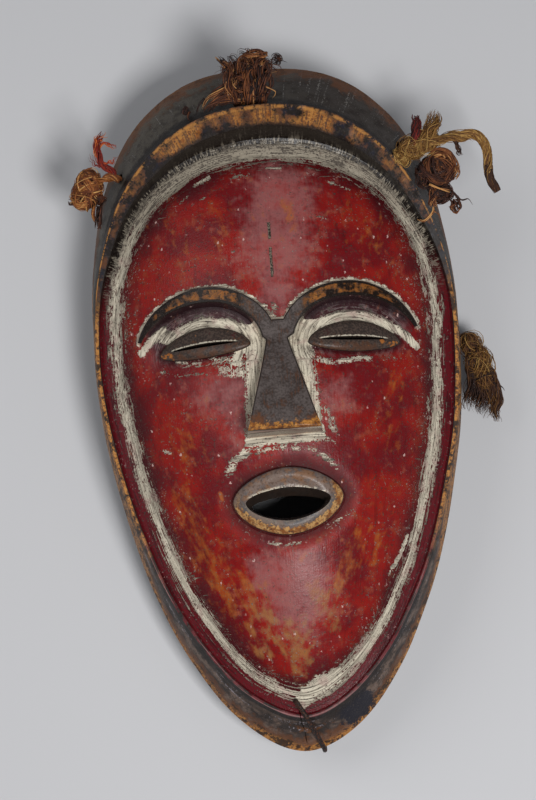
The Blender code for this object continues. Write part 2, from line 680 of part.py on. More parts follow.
def rounded_route(corners, bend, steps=3):
    """Round the inner corners of a route with short arcs."""
    route = [corners[0]]
    for before, corner, after in zip(corners, corners[1:], corners[2:]):
        to_before = (before - corner)
        to_after = (after - corner)
        reach = min(bend, 0.45 * to_before.length, 0.45 * to_after.length)
        start = corner + to_before.normalized() * reach
        end = corner + to_after.normalized() * reach
        for i in range(steps + 1):
            t = i / steps
            route.append((1 - t) ** 2 * start + 2 * t * (1 - t) * corner + t ** 2 * end)
    route.append(corners[-1])
    return route


def from_hole(name, stations):
    """Bundle stations given from the outer end of a tie hole, moved to their place."""
    start = tie_line(name)[0]
    return [(*(start + Vector(station[:3])), station[3]) for station in stations]


def neck(name, nudge, radius):
    """The first two stations of a tie: in the mouth of its hole and just above it."""
    start, inwards, _ = tie_line(name)
    return [(*(start - inwards * NECK_START), NECK_RADIUS),
            (*(start - inwards * NECK_REACH + Vector(nudge)), radius)]


def over_cap(name, stations):
    """Stations that rest on the cap: plan offsets from the hole, radius and free height below."""
    hole_x, hole_y = TIE_PLACES[name]
    rows = []
    for x, y, radius, free in stations:
        place = front_point(hole_x + x, hole_y + y, radius * 1.25 + CLEARANCE + free)
        rows.append((*place, radius))
    return rows


def build_mask():
    """The carving with its drilled tie holes and the two holes for the staple."""
    wood = new_material("carved_wood", (0.25, 0.03, 0.025), 0.45)
    body = new_object("carved_mask", carved_mesh(), wood)
    for name in ("top", "left", "right", "side"):
        start, inwards, depth = tie_line(name)
        hole = cylinder_mesh(start - inwards * 0.006, start + inwards * (depth + 0.012), TIE_HOLE_RADIUS)
        add_boolean(body, new_object(f"tie_hole_{name}", hole, wood), "DIFFERENCE")
    route = staple_route()
    past = CLEARANCE + 0.0004
    head = cylinder_mesh(route[0] - Vector((0, 0, past)), route[1], STAPLE_HOLE_RADIUS, 10)
    add_boolean(body, new_object("staple_hole_upper", head, wood), "DIFFERENCE")
    foot = cylinder_mesh(route[4], route[5] + Vector((0, past, 0)), STAPLE_HOLE_RADIUS, 10)
    add_boolean(body, new_object("staple_hole_lower", foot, wood), "DIFFERENCE")
    return body


def build_staple():
    """The hand-forged iron staple over the chin edge."""
    iron = new_material("rusty_iron", (0.05, 0.035, 0.03), 0.6, 0.7)
    return wire_object("chin_staple", rounded_route(staple_route(), 0.0016), STAPLE_RADIUS, iron)


def build_tufts():
    """The four raffia tufts, each one solid with the tie that holds it in the wood."""
    raffia = new_material("raffia", (0.20, 0.09, 0.03), 0.8)
    top = [bundle_mesh(from_hole("top", TOP_BODY), 11),
           bundle_mesh(from_hole("top", TOP_STRAND_ROOT) + over_cap("top", TOP_STRAND), 8)]
    left = [bundle_mesh(from_hole("left", LEFT_BALL), 10),
            bundle_mesh(neck("left", (-0.003, 0.001, 0.0), 0.0036) + from_hole("left", LEFT_CORD_END), 8),
            bundle_mesh(from_hole("left", RED_STRAND), 7)]
    right = [bundle_mesh(neck("right", (0.001, 0.0, 0.0), 0.0044) + from_hole("right", RIGHT_CORD_END), 10),
             bundle_mesh(from_hole("right", RIGHT_BALL), 10)]
    right += [bundle_mesh(from_hole("right", stub), 7) for stub in RIGHT_STUBS]
    side = [bundle_mesh(from_hole("side", SIDE_BODY), 10)]
    return [fused("top_tuft", top + tie_meshes("top"), raffia),
            fused("left_tuft", left + tie_meshes("left"), raffia),
            fused("right_tuft", right + tie_meshes("right"), raffia),
            fused("side_tassel", side + tie_meshes("side"), raffia)]


def build_cord_tail():
    """The twisted end of the upper right tie, which arches out and down beside the cap."""
    dry = new_material("raffia_cord", (0.35, 0.20, 0.06), 0.8)
    start = tie_line("right")[0]
    route = [start + Vector(step) for step in CORD_STEPS]
    return wire_object("right_cord_tail", route, CORD_DIAMETER / 2, dry, 2, 3)


def centre_on_floor(pieces, measured):
    """Set all pieces on an empty and move it, so that the middle of their base is the origin."""
    bpy.context.view_layer.update()
    graph = bpy.context.evaluated_depsgraph_get()
    corners = []
    for piece in measured:
        shape = piece.evaluated_get(graph).to_mesh()
        corners.extend(vertex.co.copy() for vertex in shape.vertices)
    low = Vector(min(corner[axis] for corner in corners) for axis in range(3))
    high = Vector(max(corner[axis] for corner in corners) for axis in range(3))
    anchor = bpy.data.objects.new("mask_frame", None)
    bpy.context.collection.objects.link(anchor)
    anchor.location = (-(low.x + high.x) / 2, -(low.y + high.y) / 2, -low.z)
    for piece in pieces:
        piece.parent = anchor


def main():
    for item in list(bpy.data.objects):
        bpy.data.objects.remove(item, do_unlink=True)
    mask = build_mask()
    staple = build_staple()
    tufts = build_tufts()
    tail = build_cord_tail()
    measured = [mask, staple] + tufts
    centre_on_floor(list(bpy.context.collection.objects), measured)
    print("pieces:", [piece.name for piece in measured + [tail]])


main()
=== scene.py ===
# %% [markdown]
# # A Vuvi mask: carved wood, worn paint and raffia
# The real object is a hollow wooden face, painted red with white clay bands, with raffia tied
# through holes in its cap and an iron staple over a crack at the chin. The solids come from the
# frame, and this lesson makes the surfaces that the eye sees. It could be sculpted by hand, but
# every form here follows from a few sizes, so the carving is worked out by functions.

# %% Load the frame
import math
from collections import namedtuple
from types import SimpleNamespace

import bpy
import numpy as np
from mathutils import Matrix, Vector, kdtree, noise
from mathutils.geometry import delaunay_2d_cdt


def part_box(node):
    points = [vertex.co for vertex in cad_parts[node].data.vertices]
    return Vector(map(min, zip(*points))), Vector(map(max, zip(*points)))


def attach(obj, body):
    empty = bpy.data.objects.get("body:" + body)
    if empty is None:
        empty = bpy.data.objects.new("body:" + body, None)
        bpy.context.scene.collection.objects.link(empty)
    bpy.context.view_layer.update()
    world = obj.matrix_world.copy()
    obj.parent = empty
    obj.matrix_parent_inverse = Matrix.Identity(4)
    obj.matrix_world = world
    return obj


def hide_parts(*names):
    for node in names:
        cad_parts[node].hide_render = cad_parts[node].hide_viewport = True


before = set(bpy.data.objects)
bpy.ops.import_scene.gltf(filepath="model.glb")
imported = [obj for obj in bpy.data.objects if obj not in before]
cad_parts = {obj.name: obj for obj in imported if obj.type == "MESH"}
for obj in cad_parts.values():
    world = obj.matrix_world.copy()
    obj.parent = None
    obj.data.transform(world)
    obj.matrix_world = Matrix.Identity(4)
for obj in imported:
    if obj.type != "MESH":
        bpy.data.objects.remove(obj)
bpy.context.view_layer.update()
mask_low, mask_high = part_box("carved_mask")

# %% [markdown]
# ## The sizes of the carving
# A carver of such a mask works from a centre line and a few depths. The plan is an egg curve, and
# the bands round the face are smaller egg curves inside it. All places on the mask are measured
# from the level where it is widest, with y towards the top of the head, in metres.

# %% Driving dimensions
HALF_WIDTH = 0.0985
HEAD_RISE = 0.1470
CHIN_DROP = 0.2175
CAP_REACH = 0.0310
SIDE_LEDGE = 0.0020
CHIN_FLANGE = 0.0165
BAND_WIDTHS = (0.0118, 0.0018, 0.0016)
BAND_FOOT_WIDTHS = (0.0025, 0.0012, 0.0012)
STRIP_WIDTHS = (0.0035, 0.0040, 0.0040)
CHANNEL_WIDTHS = (0.0100, 0.0080, 0.0085)
OUTLINE_HEIGHTS = (0.0620, 0.0400, 0.0270)
GROOVE_HEIGHTS = (0.0910, 0.0510, 0.0460)
BAND_HEIGHTS = (0.1000, 0.0535, 0.0490)
RECESS_HEIGHTS = (0.0835, 0.0510, 0.0470)
CHANNEL_OUTER_HEIGHTS = (0.0820, 0.0535, 0.0485)
CHANNEL_FLOOR_HEIGHTS = (0.0815, 0.0555, 0.0505)
FACE_EDGE_HEIGHTS = (0.0835, 0.0600, 0.0540)
FACE_HEIGHT = 0.0970
GROOVE_WIDTH = 0.0016
WALL = 0.0110
RIM_WIDTH = 0.0090
BACK_DRAFT = 0.0025
STEP = 0.0010
ORIGIN = Vector((mask_low.x + HALF_WIDTH, mask_high.y - HEAD_RISE, 0.0))
print("widest level at", [round(value, 4) for value in ORIGIN])

# %% [markdown]
# ## The camera
# The photograph was taken from the front, a little from the chin's side, and the mask leans in it.
# The mask lies on its back here, so the camera looks down on it from that same angle.

# %% Camera
IMAGE_HEIGHT = 800
METRES_PER_PIXEL = 0.000528
CAMERA_DISTANCE = 1.25
CAMERA_TILT = math.radians(10.0)
CAMERA_ROLL = math.radians(4.46)
AIM = ORIGIN + Vector((-0.0072, -0.0342, 0.0600))


def place_camera():
    """Look at the mask from the photograph's angle and distance."""
    data = bpy.data.cameras.new("camera")
    data.sensor_width = 36.0
    data.lens = data.sensor_width * CAMERA_DISTANCE / (IMAGE_HEIGHT * METRES_PER_PIXEL)
    camera = bpy.data.objects.new("camera", data)
    bpy.context.scene.collection.objects.link(camera)
    towards = Vector((0.0, -math.sin(CAMERA_TILT), math.cos(CAMERA_TILT)))
    level_up = Vector((0.0, math.cos(CAMERA_TILT), math.sin(CAMERA_TILT)))
    level_right = Vector((1.0, 0.0, 0.0))
    right = math.cos(CAMERA_ROLL) * level_right - math.sin(CAMERA_ROLL) * level_up
    up = math.sin(CAMERA_ROLL) * level_right + math.cos(CAMERA_ROLL) * level_up
    turn = Matrix((right, up, towards)).transposed().to_4x4()
    camera.matrix_world = Matrix.Translation(AIM + CAMERA_DISTANCE * towards) @ turn
    bpy.context.scene.camera = camera
    return camera


camera = place_camera()
print("lens", round(camera.data.lens, 1), "mm")

# %% [markdown]
# ## Egg curves and rings
# Two half superellipses that meet at the sides make an egg. Each ring of the carving, such as the
# forehead band, is an egg at a height, and the surface runs straight from ring to ring. The zone
# of a place counts the rings inwards: 0 at the outline, 1 at the groove behind the band, 2 and 3 at
# the band's edges, 4 at its foot, 5 to 7 across the white channel, then 1 more for each centimetre.

# %% Egg curves
Egg = namedtuple("Egg", "half_width rise drop crown_power chin_power")
Station = namedtuple("Station", "egg heights")


def inset(egg, widths, crown_power=None, chin_power=None):
    """The egg that lies inside another by a width at its top, sides and chin."""
    return Egg(egg.half_width - widths[1], egg.rise - widths[0], egg.drop - widths[2],
               crown_power or egg.crown_power, chin_power or egg.chin_power)


def egg_radius(egg, angle):
    """Distance from the centre to an egg curve."""
    above = np.sin(angle) >= 0
    reach = np.where(above, egg.rise, egg.drop)
    power = np.where(above, egg.crown_power, egg.chin_power)
    across = (np.abs(np.cos(angle)) / egg.half_width) ** power
    along = (np.abs(np.sin(angle)) / reach) ** power
    return (across + along) ** (-1.0 / power)


def egg_loop(egg, angle):
    """Points of an egg curve at given angles."""
    radius = egg_radius(egg, angle)
    return np.column_stack([radius * np.cos(angle), radius * np.sin(angle)])


def even_angles(egg, steps):
    """Angles whose points lie at even distances along an egg curve."""
    angle = np.linspace(0.0, 2 * math.pi, 2881)
    points = egg_loop(egg, angle)
    run = np.concatenate([[0.0], np.cumsum(np.linalg.norm(np.diff(points, axis=0), axis=1))])
    return np.interp(np.arange(steps) * run[-1] / steps, run, angle)


def around(angle, values):
    """Blend three values, for the top, the sides and the chin, round the mask."""
    end = np.where(np.sin(angle) >= 0, values[0], values[2])
    return values[1] * np.cos(angle) ** 2 + end * np.sin(angle) ** 2


# %% The rings of the front and of the hollow
OUTLINE = Egg(HALF_WIDTH, HEAD_RISE, CHIN_DROP, 2.5, 1.82)
BAND_OUTER = inset(OUTLINE, (CAP_REACH, SIDE_LEDGE, CHIN_FLANGE), 2.25, 1.78)
GROOVE = inset(BAND_OUTER, (-GROOVE_WIDTH, -SIDE_LEDGE / 2, -GROOVE_WIDTH))
BAND_INNER = inset(BAND_OUTER, BAND_WIDTHS, 2.15)
BAND_FOOT = inset(BAND_INNER, BAND_FOOT_WIDTHS, 2.25)
CHANNEL_OUTER = inset(BAND_FOOT, STRIP_WIDTHS, 2.33)
CHANNEL_FLOOR = inset(CHANNEL_OUTER, tuple(width / 2 for width in CHANNEL_WIDTHS))
FACE_EDGE = inset(CHANNEL_OUTER, CHANNEL_WIDTHS, 2.36)
FRONT = (
    Station(OUTLINE, OUTLINE_HEIGHTS),
    Station(GROOVE, GROOVE_HEIGHTS),
    Station(BAND_OUTER, BAND_HEIGHTS),
    Station(BAND_INNER, BAND_HEIGHTS),
    Station(BAND_FOOT, RECESS_HEIGHTS),
    Station(CHANNEL_OUTER, CHANNEL_OUTER_HEIGHTS),
    Station(CHANNEL_FLOOR, CHANNEL_FLOOR_HEIGHTS),
    Station(FACE_EDGE, FACE_EDGE_HEIGHTS),
)
BACK_RIM = inset(OUTLINE, (BACK_DRAFT, BACK_DRAFT, BACK_DRAFT))
HOLLOW_RIM = inset(BACK_RIM, (RIM_WIDTH, RIM_WIDTH, RIM_WIDTH))
HOLLOW = (
    Station(inset(OUTLINE, (WALL, RIM_WIDTH, WALL)), tuple(height - WALL for height in OUTLINE_HEIGHTS)),
    Station(inset(BAND_OUTER, (WALL / 2, WALL, WALL)), tuple(height - WALL for height in RECESS_HEIGHTS)),
    Station(inset(FACE_EDGE, (0.0, WALL / 2, WALL / 2)),
            tuple(height - WALL for height in FACE_EDGE_HEIGHTS)),
)
DOME_POWERS = (2.6, 2.1, 2.6)
ZONE_STEP = 0.010


def surface(points, stations, top):
    """Height of a dome that falls from its top to the last ring, then from ring to ring; and the zone."""
    angle = np.arctan2(points[:, 1], points[:, 0])
    radius = np.hypot(points[:, 0], points[:, 1])
    rings = [egg_radius(station.egg, angle) for station in stations]
    levels = [around(angle, station.heights) for station in stations]
    last = len(stations) - 1
    share = np.clip(radius / rings[last], 0.0, 1.0)
    height = top - (top - levels[last]) * share ** around(angle, DOME_POWERS)
    zone = last + (rings[last] - radius) / ZONE_STEP
    for inner in range(last, 0, -1):
        outer = inner - 1
        width = np.maximum(rings[outer] - rings[inner], 1e-6)
        part = np.clip((radius - rings[inner]) / width, 0.0, 1.0)
        beyond = radius > rings[inner]
        height = np.where(beyond, levels[inner] + part * (levels[outer] - levels[inner]), height)
        zone = np.where(beyond, inner - part, zone)
    return height, zone


print("rings:", len(FRONT), "on the front,", len(HOLLOW), "in the hollow")

# %% [markdown]
# ## The carving on the face
# Brows and nose are one raised shape, the lids and lips are lenses, and two notches mark the
# forehead. Each is an outline in plan with a steep carved step, so a signed distance to the
# outline gives both the step in the wood and, later, the place of its paint.

# %% Sizes of the carving
BROW_WIDTH = 0.0074
BROW_PROUD = 0.0014
BROW_SPAN = 0.0355
BROW_RISE = 0.0284
BROW_NOTCH = 0.0005
BROW_CENTRES = {"left": (-0.0390, -0.0100), "right": (0.0400, -0.0120)}
SOCKET_DEPTH = 0.0075
NOSE_BRIDGE_HALF = 0.0055
NOSE_BASE_HALF = 0.0187
NOSE_TOP = -0.0090
NOSE_BASE = -0.0583
NOSE_PROUD = 0.0165
EYE_CENTRES = {"left": (-0.0378, -0.0092), "right": (0.0400, -0.0110)}
EYE_HALF = 0.0240
EYE_UPPER = 0.0115
EYE_LOWER = 0.0056
EYE_PROUD = 0.0048
SLIT_HALF = 0.0172
SLIT_HEIGHT = 0.0022
LIP_CENTRE = (-0.0007, -0.0908)
LIP_HALF = 0.0283
LIP_UPPER = 0.0153
LIP_LOWER = 0.0186
LIP_PROUD = 0.0058
LIP_HOLLOW = 0.0020
LIP_HOLLOW_REACH = 0.0100
MOUTH_HALF = 0.0219
MOUTH_UPPER = 0.0066
MOUTH_LOWER = 0.0104
MOUTH_TAPER = 0.0030
SCAR_WIDTH = 0.0018
SCAR_DEPTH = 0.0014
SCAR_SPANS = ((0.0538, 0.0440), (0.0400, 0.0236))
SIDES = {"left": -1.0, "right": 1.0}


# %% Outlines in plan
def signed_distance(points, outline):
    """Distance from each point to a closed outline, positive inside."""
    edge = np.roll(outline, -1, axis=0) - outline
    length = np.maximum((edge ** 2).sum(axis=1), 1e-18)
    best = np.full(len(points), np.inf)
    inside = np.zeros(len(points), dtype=bool)
    for corner, side, square in zip(outline, edge, length):
        offset = points - corner
        along = np.clip(offset @ side / square, 0.0, 1.0)
        gap = offset - along[:, None] * side
        best = np.minimum(best, (gap ** 2).sum(axis=1))
        spans = (corner[1] > points[:, 1]) != (corner[1] + side[1] > points[:, 1])
        if side[1]:
            crossing = corner[0] + side[0] * (points[:, 1] - corner[1]) / side[1]
            inside ^= spans & (points[:, 0] < crossing)
    return np.where(inside, 1.0, -1.0) * np.sqrt(best)


def line_distance(points, line):
    """Distance from each point to an open line."""
    best = np.full(len(points), np.inf)
    line = np.array(line, dtype=float)
    for start, end in zip(line, line[1:]):
        side = end - start
        along = np.clip((points - start) @ side / (side @ side), 0.0, 1.0)
        best = np.minimum(best, ((points - start - along[:, None] * side) ** 2).sum(axis=1))
    return np.sqrt(best)


def offset_outline(outline, distance):
    """Move an outline outwards along the normals at its corners."""
    before = outline - np.roll(outline, 1, axis=0)
    after = np.roll(outline, -1, axis=0) - outline
    before /= np.linalg.norm(before, axis=1)[:, None]
    after /= np.linalg.norm(after, axis=1)[:, None]
    tangent = before + after
    tangent /= np.maximum(np.linalg.norm(tangent, axis=1), 1e-9)[:, None]
    return outline + distance * np.column_stack([tangent[:, 1], -tangent[:, 0]])


def smooth(value):
    """Ease from 0 to 1."""
    value = np.clip(value, 0.0, 1.0)
    return value * value * (3.0 - 2.0 * value)


def brow_edge(side, edge, steps):
    """One edge of a brow arc, from the bridge of the nose to the outer tip; edge is 1 or -1."""
    centre = BROW_CENTRES[side]
    angle = np.radians(np.linspace(2.0, 160.0, steps))
    towards_tip = smooth((angle - math.pi / 2) / (math.pi / 2))
    half = edge * BROW_WIDTH / 2 * (1.0 - 0.85 * towards_tip)
    x = centre[0] - SIDES[side] * (BROW_SPAN + half) * np.cos(angle)
    y = centre[1] + (BROW_RISE + half) * np.sin(angle)
    return np.column_stack([x, y])


def above_notch(edge):
    """Leave out the inner end of a brow's upper edge, below the notch where the brows meet."""
    far_end = np.arange(len(edge)) > len(edge) // 2
    return edge[(edge[:, 1] > BROW_NOTCH) | far_end]


def nose_half(y):
    """Half the width of the nose at a level."""
    share = np.clip((NOSE_TOP - y) / (NOSE_TOP - NOSE_BASE), 0.0, 1.0)
    return NOSE_BRIDGE_HALF + (NOSE_BASE_HALF - NOSE_BRIDGE_HALF) * share ** 1.12


def brow_nose_outline(steps):
    """The one raised shape that both brows and the nose form, anticlockwise."""
    left_top = above_notch(brow_edge("left", 1.0, steps))
    right_top = above_notch(brow_edge("right", 1.0, steps))
    left_low = brow_edge("left", -1.0, steps)
    right_low = brow_edge("right", -1.0, steps)
    left_low = left_low[left_low[:, 1] > NOSE_TOP + 0.0015]
    right_low = right_low[right_low[:, 1] > NOSE_TOP + 0.0015]
    levels = np.linspace(NOSE_TOP, NOSE_BASE, steps // 2)
    nose_right = np.column_stack([nose_half(levels), levels])
    nose_left = np.column_stack([-nose_half(levels[::-1]), levels[::-1]])
    return np.vstack([right_top, right_low[::-1], nose_right, nose_left, left_low, left_top[::-1]])[::-1]


LENS_POWER = 1.75
MOUTH_STEPS = 96
SLIT_STEPS = 64


def lens_outline(centre, half, upper, lower, steps):
    """A lens with pointed corners: an upper and a lower superellipse arc, anticlockwise."""
    angle = (np.arange(steps) + 0.5) * 2 * math.pi / steps
    cosine, sine = np.cos(angle), np.sin(angle)
    x = half * np.sign(cosine) * np.abs(cosine) ** (2 / LENS_POWER)
    y = np.where(sine > 0, upper, lower) * np.sign(sine) * np.abs(sine) ** (2 / LENS_POWER)
    return np.column_stack([centre[0] + x, centre[1] + y])


def lens_level(points, centre, half, upper, lower):
    """0 at the centre of a lens and 1 on its outline."""
    across = np.abs(points[:, 0] - centre[0]) / half
    up = points[:, 1] - centre[1]
    along = np.abs(up) / np.where(up > 0, upper, lower)
    return (across ** LENS_POWER + along ** LENS_POWER) ** (1 / LENS_POWER)


def mouth_outline(taper):
    """The mouth opening, narrower by the taper at its inner end."""
    return lens_outline((LIP_CENTRE[0], LIP_CENTRE[1] - 0.0012), MOUTH_HALF - taper,
                        MOUTH_UPPER - taper, MOUTH_LOWER - taper, MOUTH_STEPS)


def slit_outline(side):
    """The thin slit that the wearer sees through."""
    x, y = EYE_CENTRES[side]
    return lens_outline((x, y + 0.0012), SLIT_HALF, SLIT_HEIGHT / 2, SLIT_HEIGHT / 2, SLIT_STEPS)


def scar_outlines():
    """Two short upright notches in the middle of the forehead."""
    half = SCAR_WIDTH / 2
    return [np.array([(half, low), (half, high), (-half, high), (-half, low)]) for high, low in SCAR_SPANS]


BROW_NOSE = brow_nose_outline(96)
LIDS = {side: lens_outline(EYE_CENTRES[side], EYE_HALF, EYE_UPPER, EYE_LOWER, 110) for side in SIDES}
LIPS = lens_outline(LIP_CENTRE, LIP_HALF, LIP_UPPER, LIP_LOWER, 130)
print("brow and nose outline:", len(BROW_NOSE), "points")

# %% [markdown]
# ## The height of the carved front
# Wood is only ever taken away, so the front is a height over the flat back rim. The dome comes
# first, the sockets and the hollow round the lips are cut down, and what stands proud is blended
# back over a steep step. A crack, knife marks and worn arrises make it a used thing.


# %% Height functions
def socket_depth(points, side):
    """How far the eye socket under a brow lies below the face."""
    centre = BROW_CENTRES[side]
    outward = SIDES[side] * (points[:, 0] - centre[0])
    up = points[:, 1] - centre[1]
    level = smooth((up + 0.62 * BROW_RISE) / (0.95 * BROW_RISE))
    outer = 1.0 - smooth((outward / BROW_SPAN - 0.45) / 0.6)
    inner = 1.0 - smooth((-outward / BROW_SPAN - 0.85) / 0.35)
    under = (outward / BROW_SPAN) ** 2 + (up / BROW_RISE) ** 2 < 1.0
    return SOCKET_DEPTH * level * outer * inner * np.where(under | (up < 0), 1.0, 0.0)


def front_shape(points):
    """Height of the carved front, with the distances that its paint follows."""
    height, zone = surface(points, FRONT, FACE_HEIGHT)
    brow_nose = signed_distance(points, BROW_NOSE)
    lips = signed_distance(points, LIPS)
    lids = np.maximum(signed_distance(points, LIDS["left"]), signed_distance(points, LIDS["right"]))
    sunk = height - socket_depth(points, "left") - socket_depth(points, "right")
    sunk = sunk - LIP_HOLLOW * (1.0 - smooth(-lips / LIP_HOLLOW_REACH))
    for side in SIDES:
        level = lens_level(points, EYE_CENTRES[side], EYE_HALF, EYE_UPPER, EYE_LOWER)
        pad = EYE_PROUD * (0.4 + 0.6 * (1.0 - np.clip(level, 0.0, 1.0) ** 2))
        sunk = sunk + pad * smooth((1.0 - level) * EYE_LOWER / STEP + 0.5)
    across = lens_level(points, LIP_CENTRE, LIP_HALF, LIP_UPPER, LIP_LOWER)
    swell = LIP_PROUD * (0.55 + 0.45 * np.sin(np.pi * np.clip((1.0 - across) / 0.5, 0.0, 1.0)))
    sunk = sunk + swell * smooth(lips / STEP + 1.0)
    scar = np.zeros(len(points))
    for outline in scar_outlines():
        scar = np.maximum(scar, smooth(signed_distance(points, outline) / (SCAR_WIDTH / 2)))
    sunk = sunk - SCAR_DEPTH * scar
    rise = np.clip((NOSE_TOP - points[:, 1]) / (NOSE_TOP - NOSE_BASE), 0.0, 1.0)
    raised = height + BROW_PROUD + NOSE_PROUD * rise
    height = sunk + (raised - sunk) * smooth(brow_nose / STEP + 1.0)
    return height, {"zone": zone, "brow": brow_nose, "lip": lips, "lid": lids, "scar": scar}


def front_height(points):
    """Height of the carved front above the back rim."""
    return front_shape(points)[0]


def back_height(points):
    """Height of the hollow's ceiling above the back rim."""
    return surface(points, HOLLOW, FACE_HEIGHT - WALL)[0]


def front_point(x, y):
    """A point on the carved front."""
    return Vector((x, y, float(front_height(np.array([[x, y]]))[0])))


def front_normal(x, y):
    """The direction straight out of the front at a place."""
    reach = 0.002
    places = np.array([[x + reach, y], [x - reach, y], [x, y + reach], [x, y - reach]])
    east, west, north, south = front_height(places)
    return Vector((west - east, south - north, 2 * reach)).normalized()


print("height at the nose tip", round(front_point(0.0, NOSE_BASE + 0.002).z, 4))

# %% [markdown]
# ## Holes for the ties
# Each tuft is tied through a drilled hole. In plan such a hole is a loop on the front and a loop in
# the hollow, so the same triangulation that leaves the mouth open leaves these open too.

# %% Tie holes
TIE_HOLE_RADIUS = 0.0026
TIE_KNOT_RADIUS = 0.0046
TIE_PLACES = {"top": (-0.0030, 0.1250), "left": (-0.0772, 0.0915), "right": (0.0735, 0.0975)}
SIDE_TIE_ANGLE = math.radians(-1.0)
SIDE_TIE_SHARE = 0.55


def tie_line(name):
    """Outer end, inward direction and depth of wood of a tie hole."""
    if name == "side":
        radius = float(egg_radius(OUTLINE, SIDE_TIE_ANGLE))
        height = SIDE_TIE_SHARE * float(around(SIDE_TIE_ANGLE, OUTLINE_HEIGHTS))
        start = Vector((radius * math.cos(SIDE_TIE_ANGLE), radius * math.sin(SIDE_TIE_ANGLE), height))
        start.x -= BACK_DRAFT * (1.0 - SIDE_TIE_SHARE)
        return start, Vector((-1.0, 0.0, 0.0)), RIM_WIDTH + BACK_DRAFT
    start = front_point(*TIE_PLACES[name])
    inwards = -front_normal(*TIE_PLACES[name])
    depth = 0.003
    while depth < 0.08:
        place = start + inwards * depth
        if place.z < float(back_height(np.array([[place.x, place.y]]))[0]):
            return start, inwards, depth
        depth += 0.0005
    return start, inwards, depth


HOLE_STEPS = 22


def hole_loop(name, depth_share):
    """Plan of a tie hole where it leaves the front (share 0) or the hollow's ceiling (share 1)."""
    start, inwards, depth = tie_line(name)
    middle = start + inwards * depth * depth_share
    first = inwards.orthogonal().normalized()
    second = inwards.cross(first)
    loop = []
    for i in range(HOLE_STEPS):
        turn = 2 * math.pi * i / HOLE_STEPS
        place = middle + TIE_HOLE_RADIUS * (math.cos(turn) * first + math.sin(turn) * second)
        loop.append((place.x, place.y))
    return np.array(loop)


for name in (*TIE_PLACES, "side"):
    print("tie", name, "through", round(1000 * tie_line(name)[2], 1), "mm of wood")

# %% [markdown]
# ## A fine mesh from a plan
# A grid that is cut by outlines would leave ragged steps. A constrained triangulation keeps every
# carved line as an edge, with evenly spread points between the lines, and it is quick.

# %% Triangulate a plan
GRAIN = 0.00125
RING_POINTS = 720


def spread_points(egg, spacing, keep_from, gap):
    """Staggered points inside an egg curve that keep clear of the carved lines."""
    row_height = spacing * 0.87
    rows = []
    count = int(2 * max(egg.rise, egg.drop) / row_height) + 2
    for row in range(-count // 2, count // 2 + 1):
        xs = np.arange(-egg.half_width, egg.half_width, spacing) + (spacing / 2 if row % 2 else 0.0)
        rows.append(np.column_stack([xs, np.full(len(xs), row * row_height)]))
    points = np.vstack(rows)
    angle = np.arctan2(points[:, 1], points[:, 0])
    points = points[np.hypot(points[:, 0], points[:, 1]) < egg_radius(egg, angle) - gap]
    tree = kdtree.KDTree(len(keep_from))
    for i, (x, y) in enumerate(keep_from):
        tree.insert((x, y, 0.0), i)
    tree.balance()
    clear = [tree.find((x, y, 0.0))[2] > gap for x, y in points]
    return points[np.array(clear)]


def triangulate(loops, loose, holes):
    """Triangulate closed loops and loose points; leave open the loops whose numbers are in holes."""
    coords, edges, spans = [], [], []
    for loop in loops:
        first = len(coords)
        coords.extend(loop)
        count = len(loop)
        edges.extend((first + i, first + (i + 1) % count) for i in range(count))
        spans.append(range(first, first + count))
    coords.extend(loose)
    result = delaunay_2d_cdt([Vector(point) for point in coords], edges, [], 0, 1e-9)
    points = np.array([tuple(point) for point in result[0]])
    place = {old: new for new, olds in enumerate(result[3]) for old in olds}
    triangles = np.array(result[2])
    middle = points[triangles].mean(axis=1)
    keep = np.ones(len(triangles), dtype=bool)
    for hole in holes:
        outline = np.array(loops[hole])
        low, high = outline.min(axis=0), outline.max(axis=0)
        near = np.flatnonzero(((middle > low) & (middle < high)).all(axis=1))
        keep[near] = signed_distance(middle[near], outline) < 0
    return points, triangles[keep], [[place[i] for i in span] for span in spans]


# %% [markdown]
# ## Marks of use
# A hand-cut surface is never even. Smooth noise moves the plan by a fraction of a millimetre, so
# that no band is perfectly true, and lowers the wood in shallow knife facets. Edges lose a
# little more where they stick out.


# %% Knife marks and wear in the wood
HAND_STRAY = 0.0007
HAND_STRAY_SIZE = 0.034
BROAD_CUT = 0.00045
FINE_CUT = 0.00012
CAP_CUT = 0.0006
CHIP_DEPTH = 0.0011


def wave(points, size, seed):
    """Smooth noise between -1 and 1 whose lumps are about size wide."""
    scale = 1.0 / size
    return np.array([noise.noise(Vector((x * scale + seed, y * scale - seed, seed))) for x, y in points])


def facets(points, size, seed, stretch=1.0):
    """Shallow hollows between ridges, as a knife leaves them: 0 in the middle and 1 on a ridge."""
    scale = 1.0 / size
    result = []
    for x, y in points:
        near = noise.voronoi(Vector((x * scale * stretch, y * scale, seed)))[0]
        result.append(near[0] / max(near[1], 1e-6))
    return np.array(result)


def hand_shift(points):
    """How far the carver's hand strayed from the true plan."""
    strays = [wave(points, HAND_STRAY_SIZE, 3.1), wave(points, HAND_STRAY_SIZE, 8.7)]
    return HAND_STRAY * np.column_stack(strays)


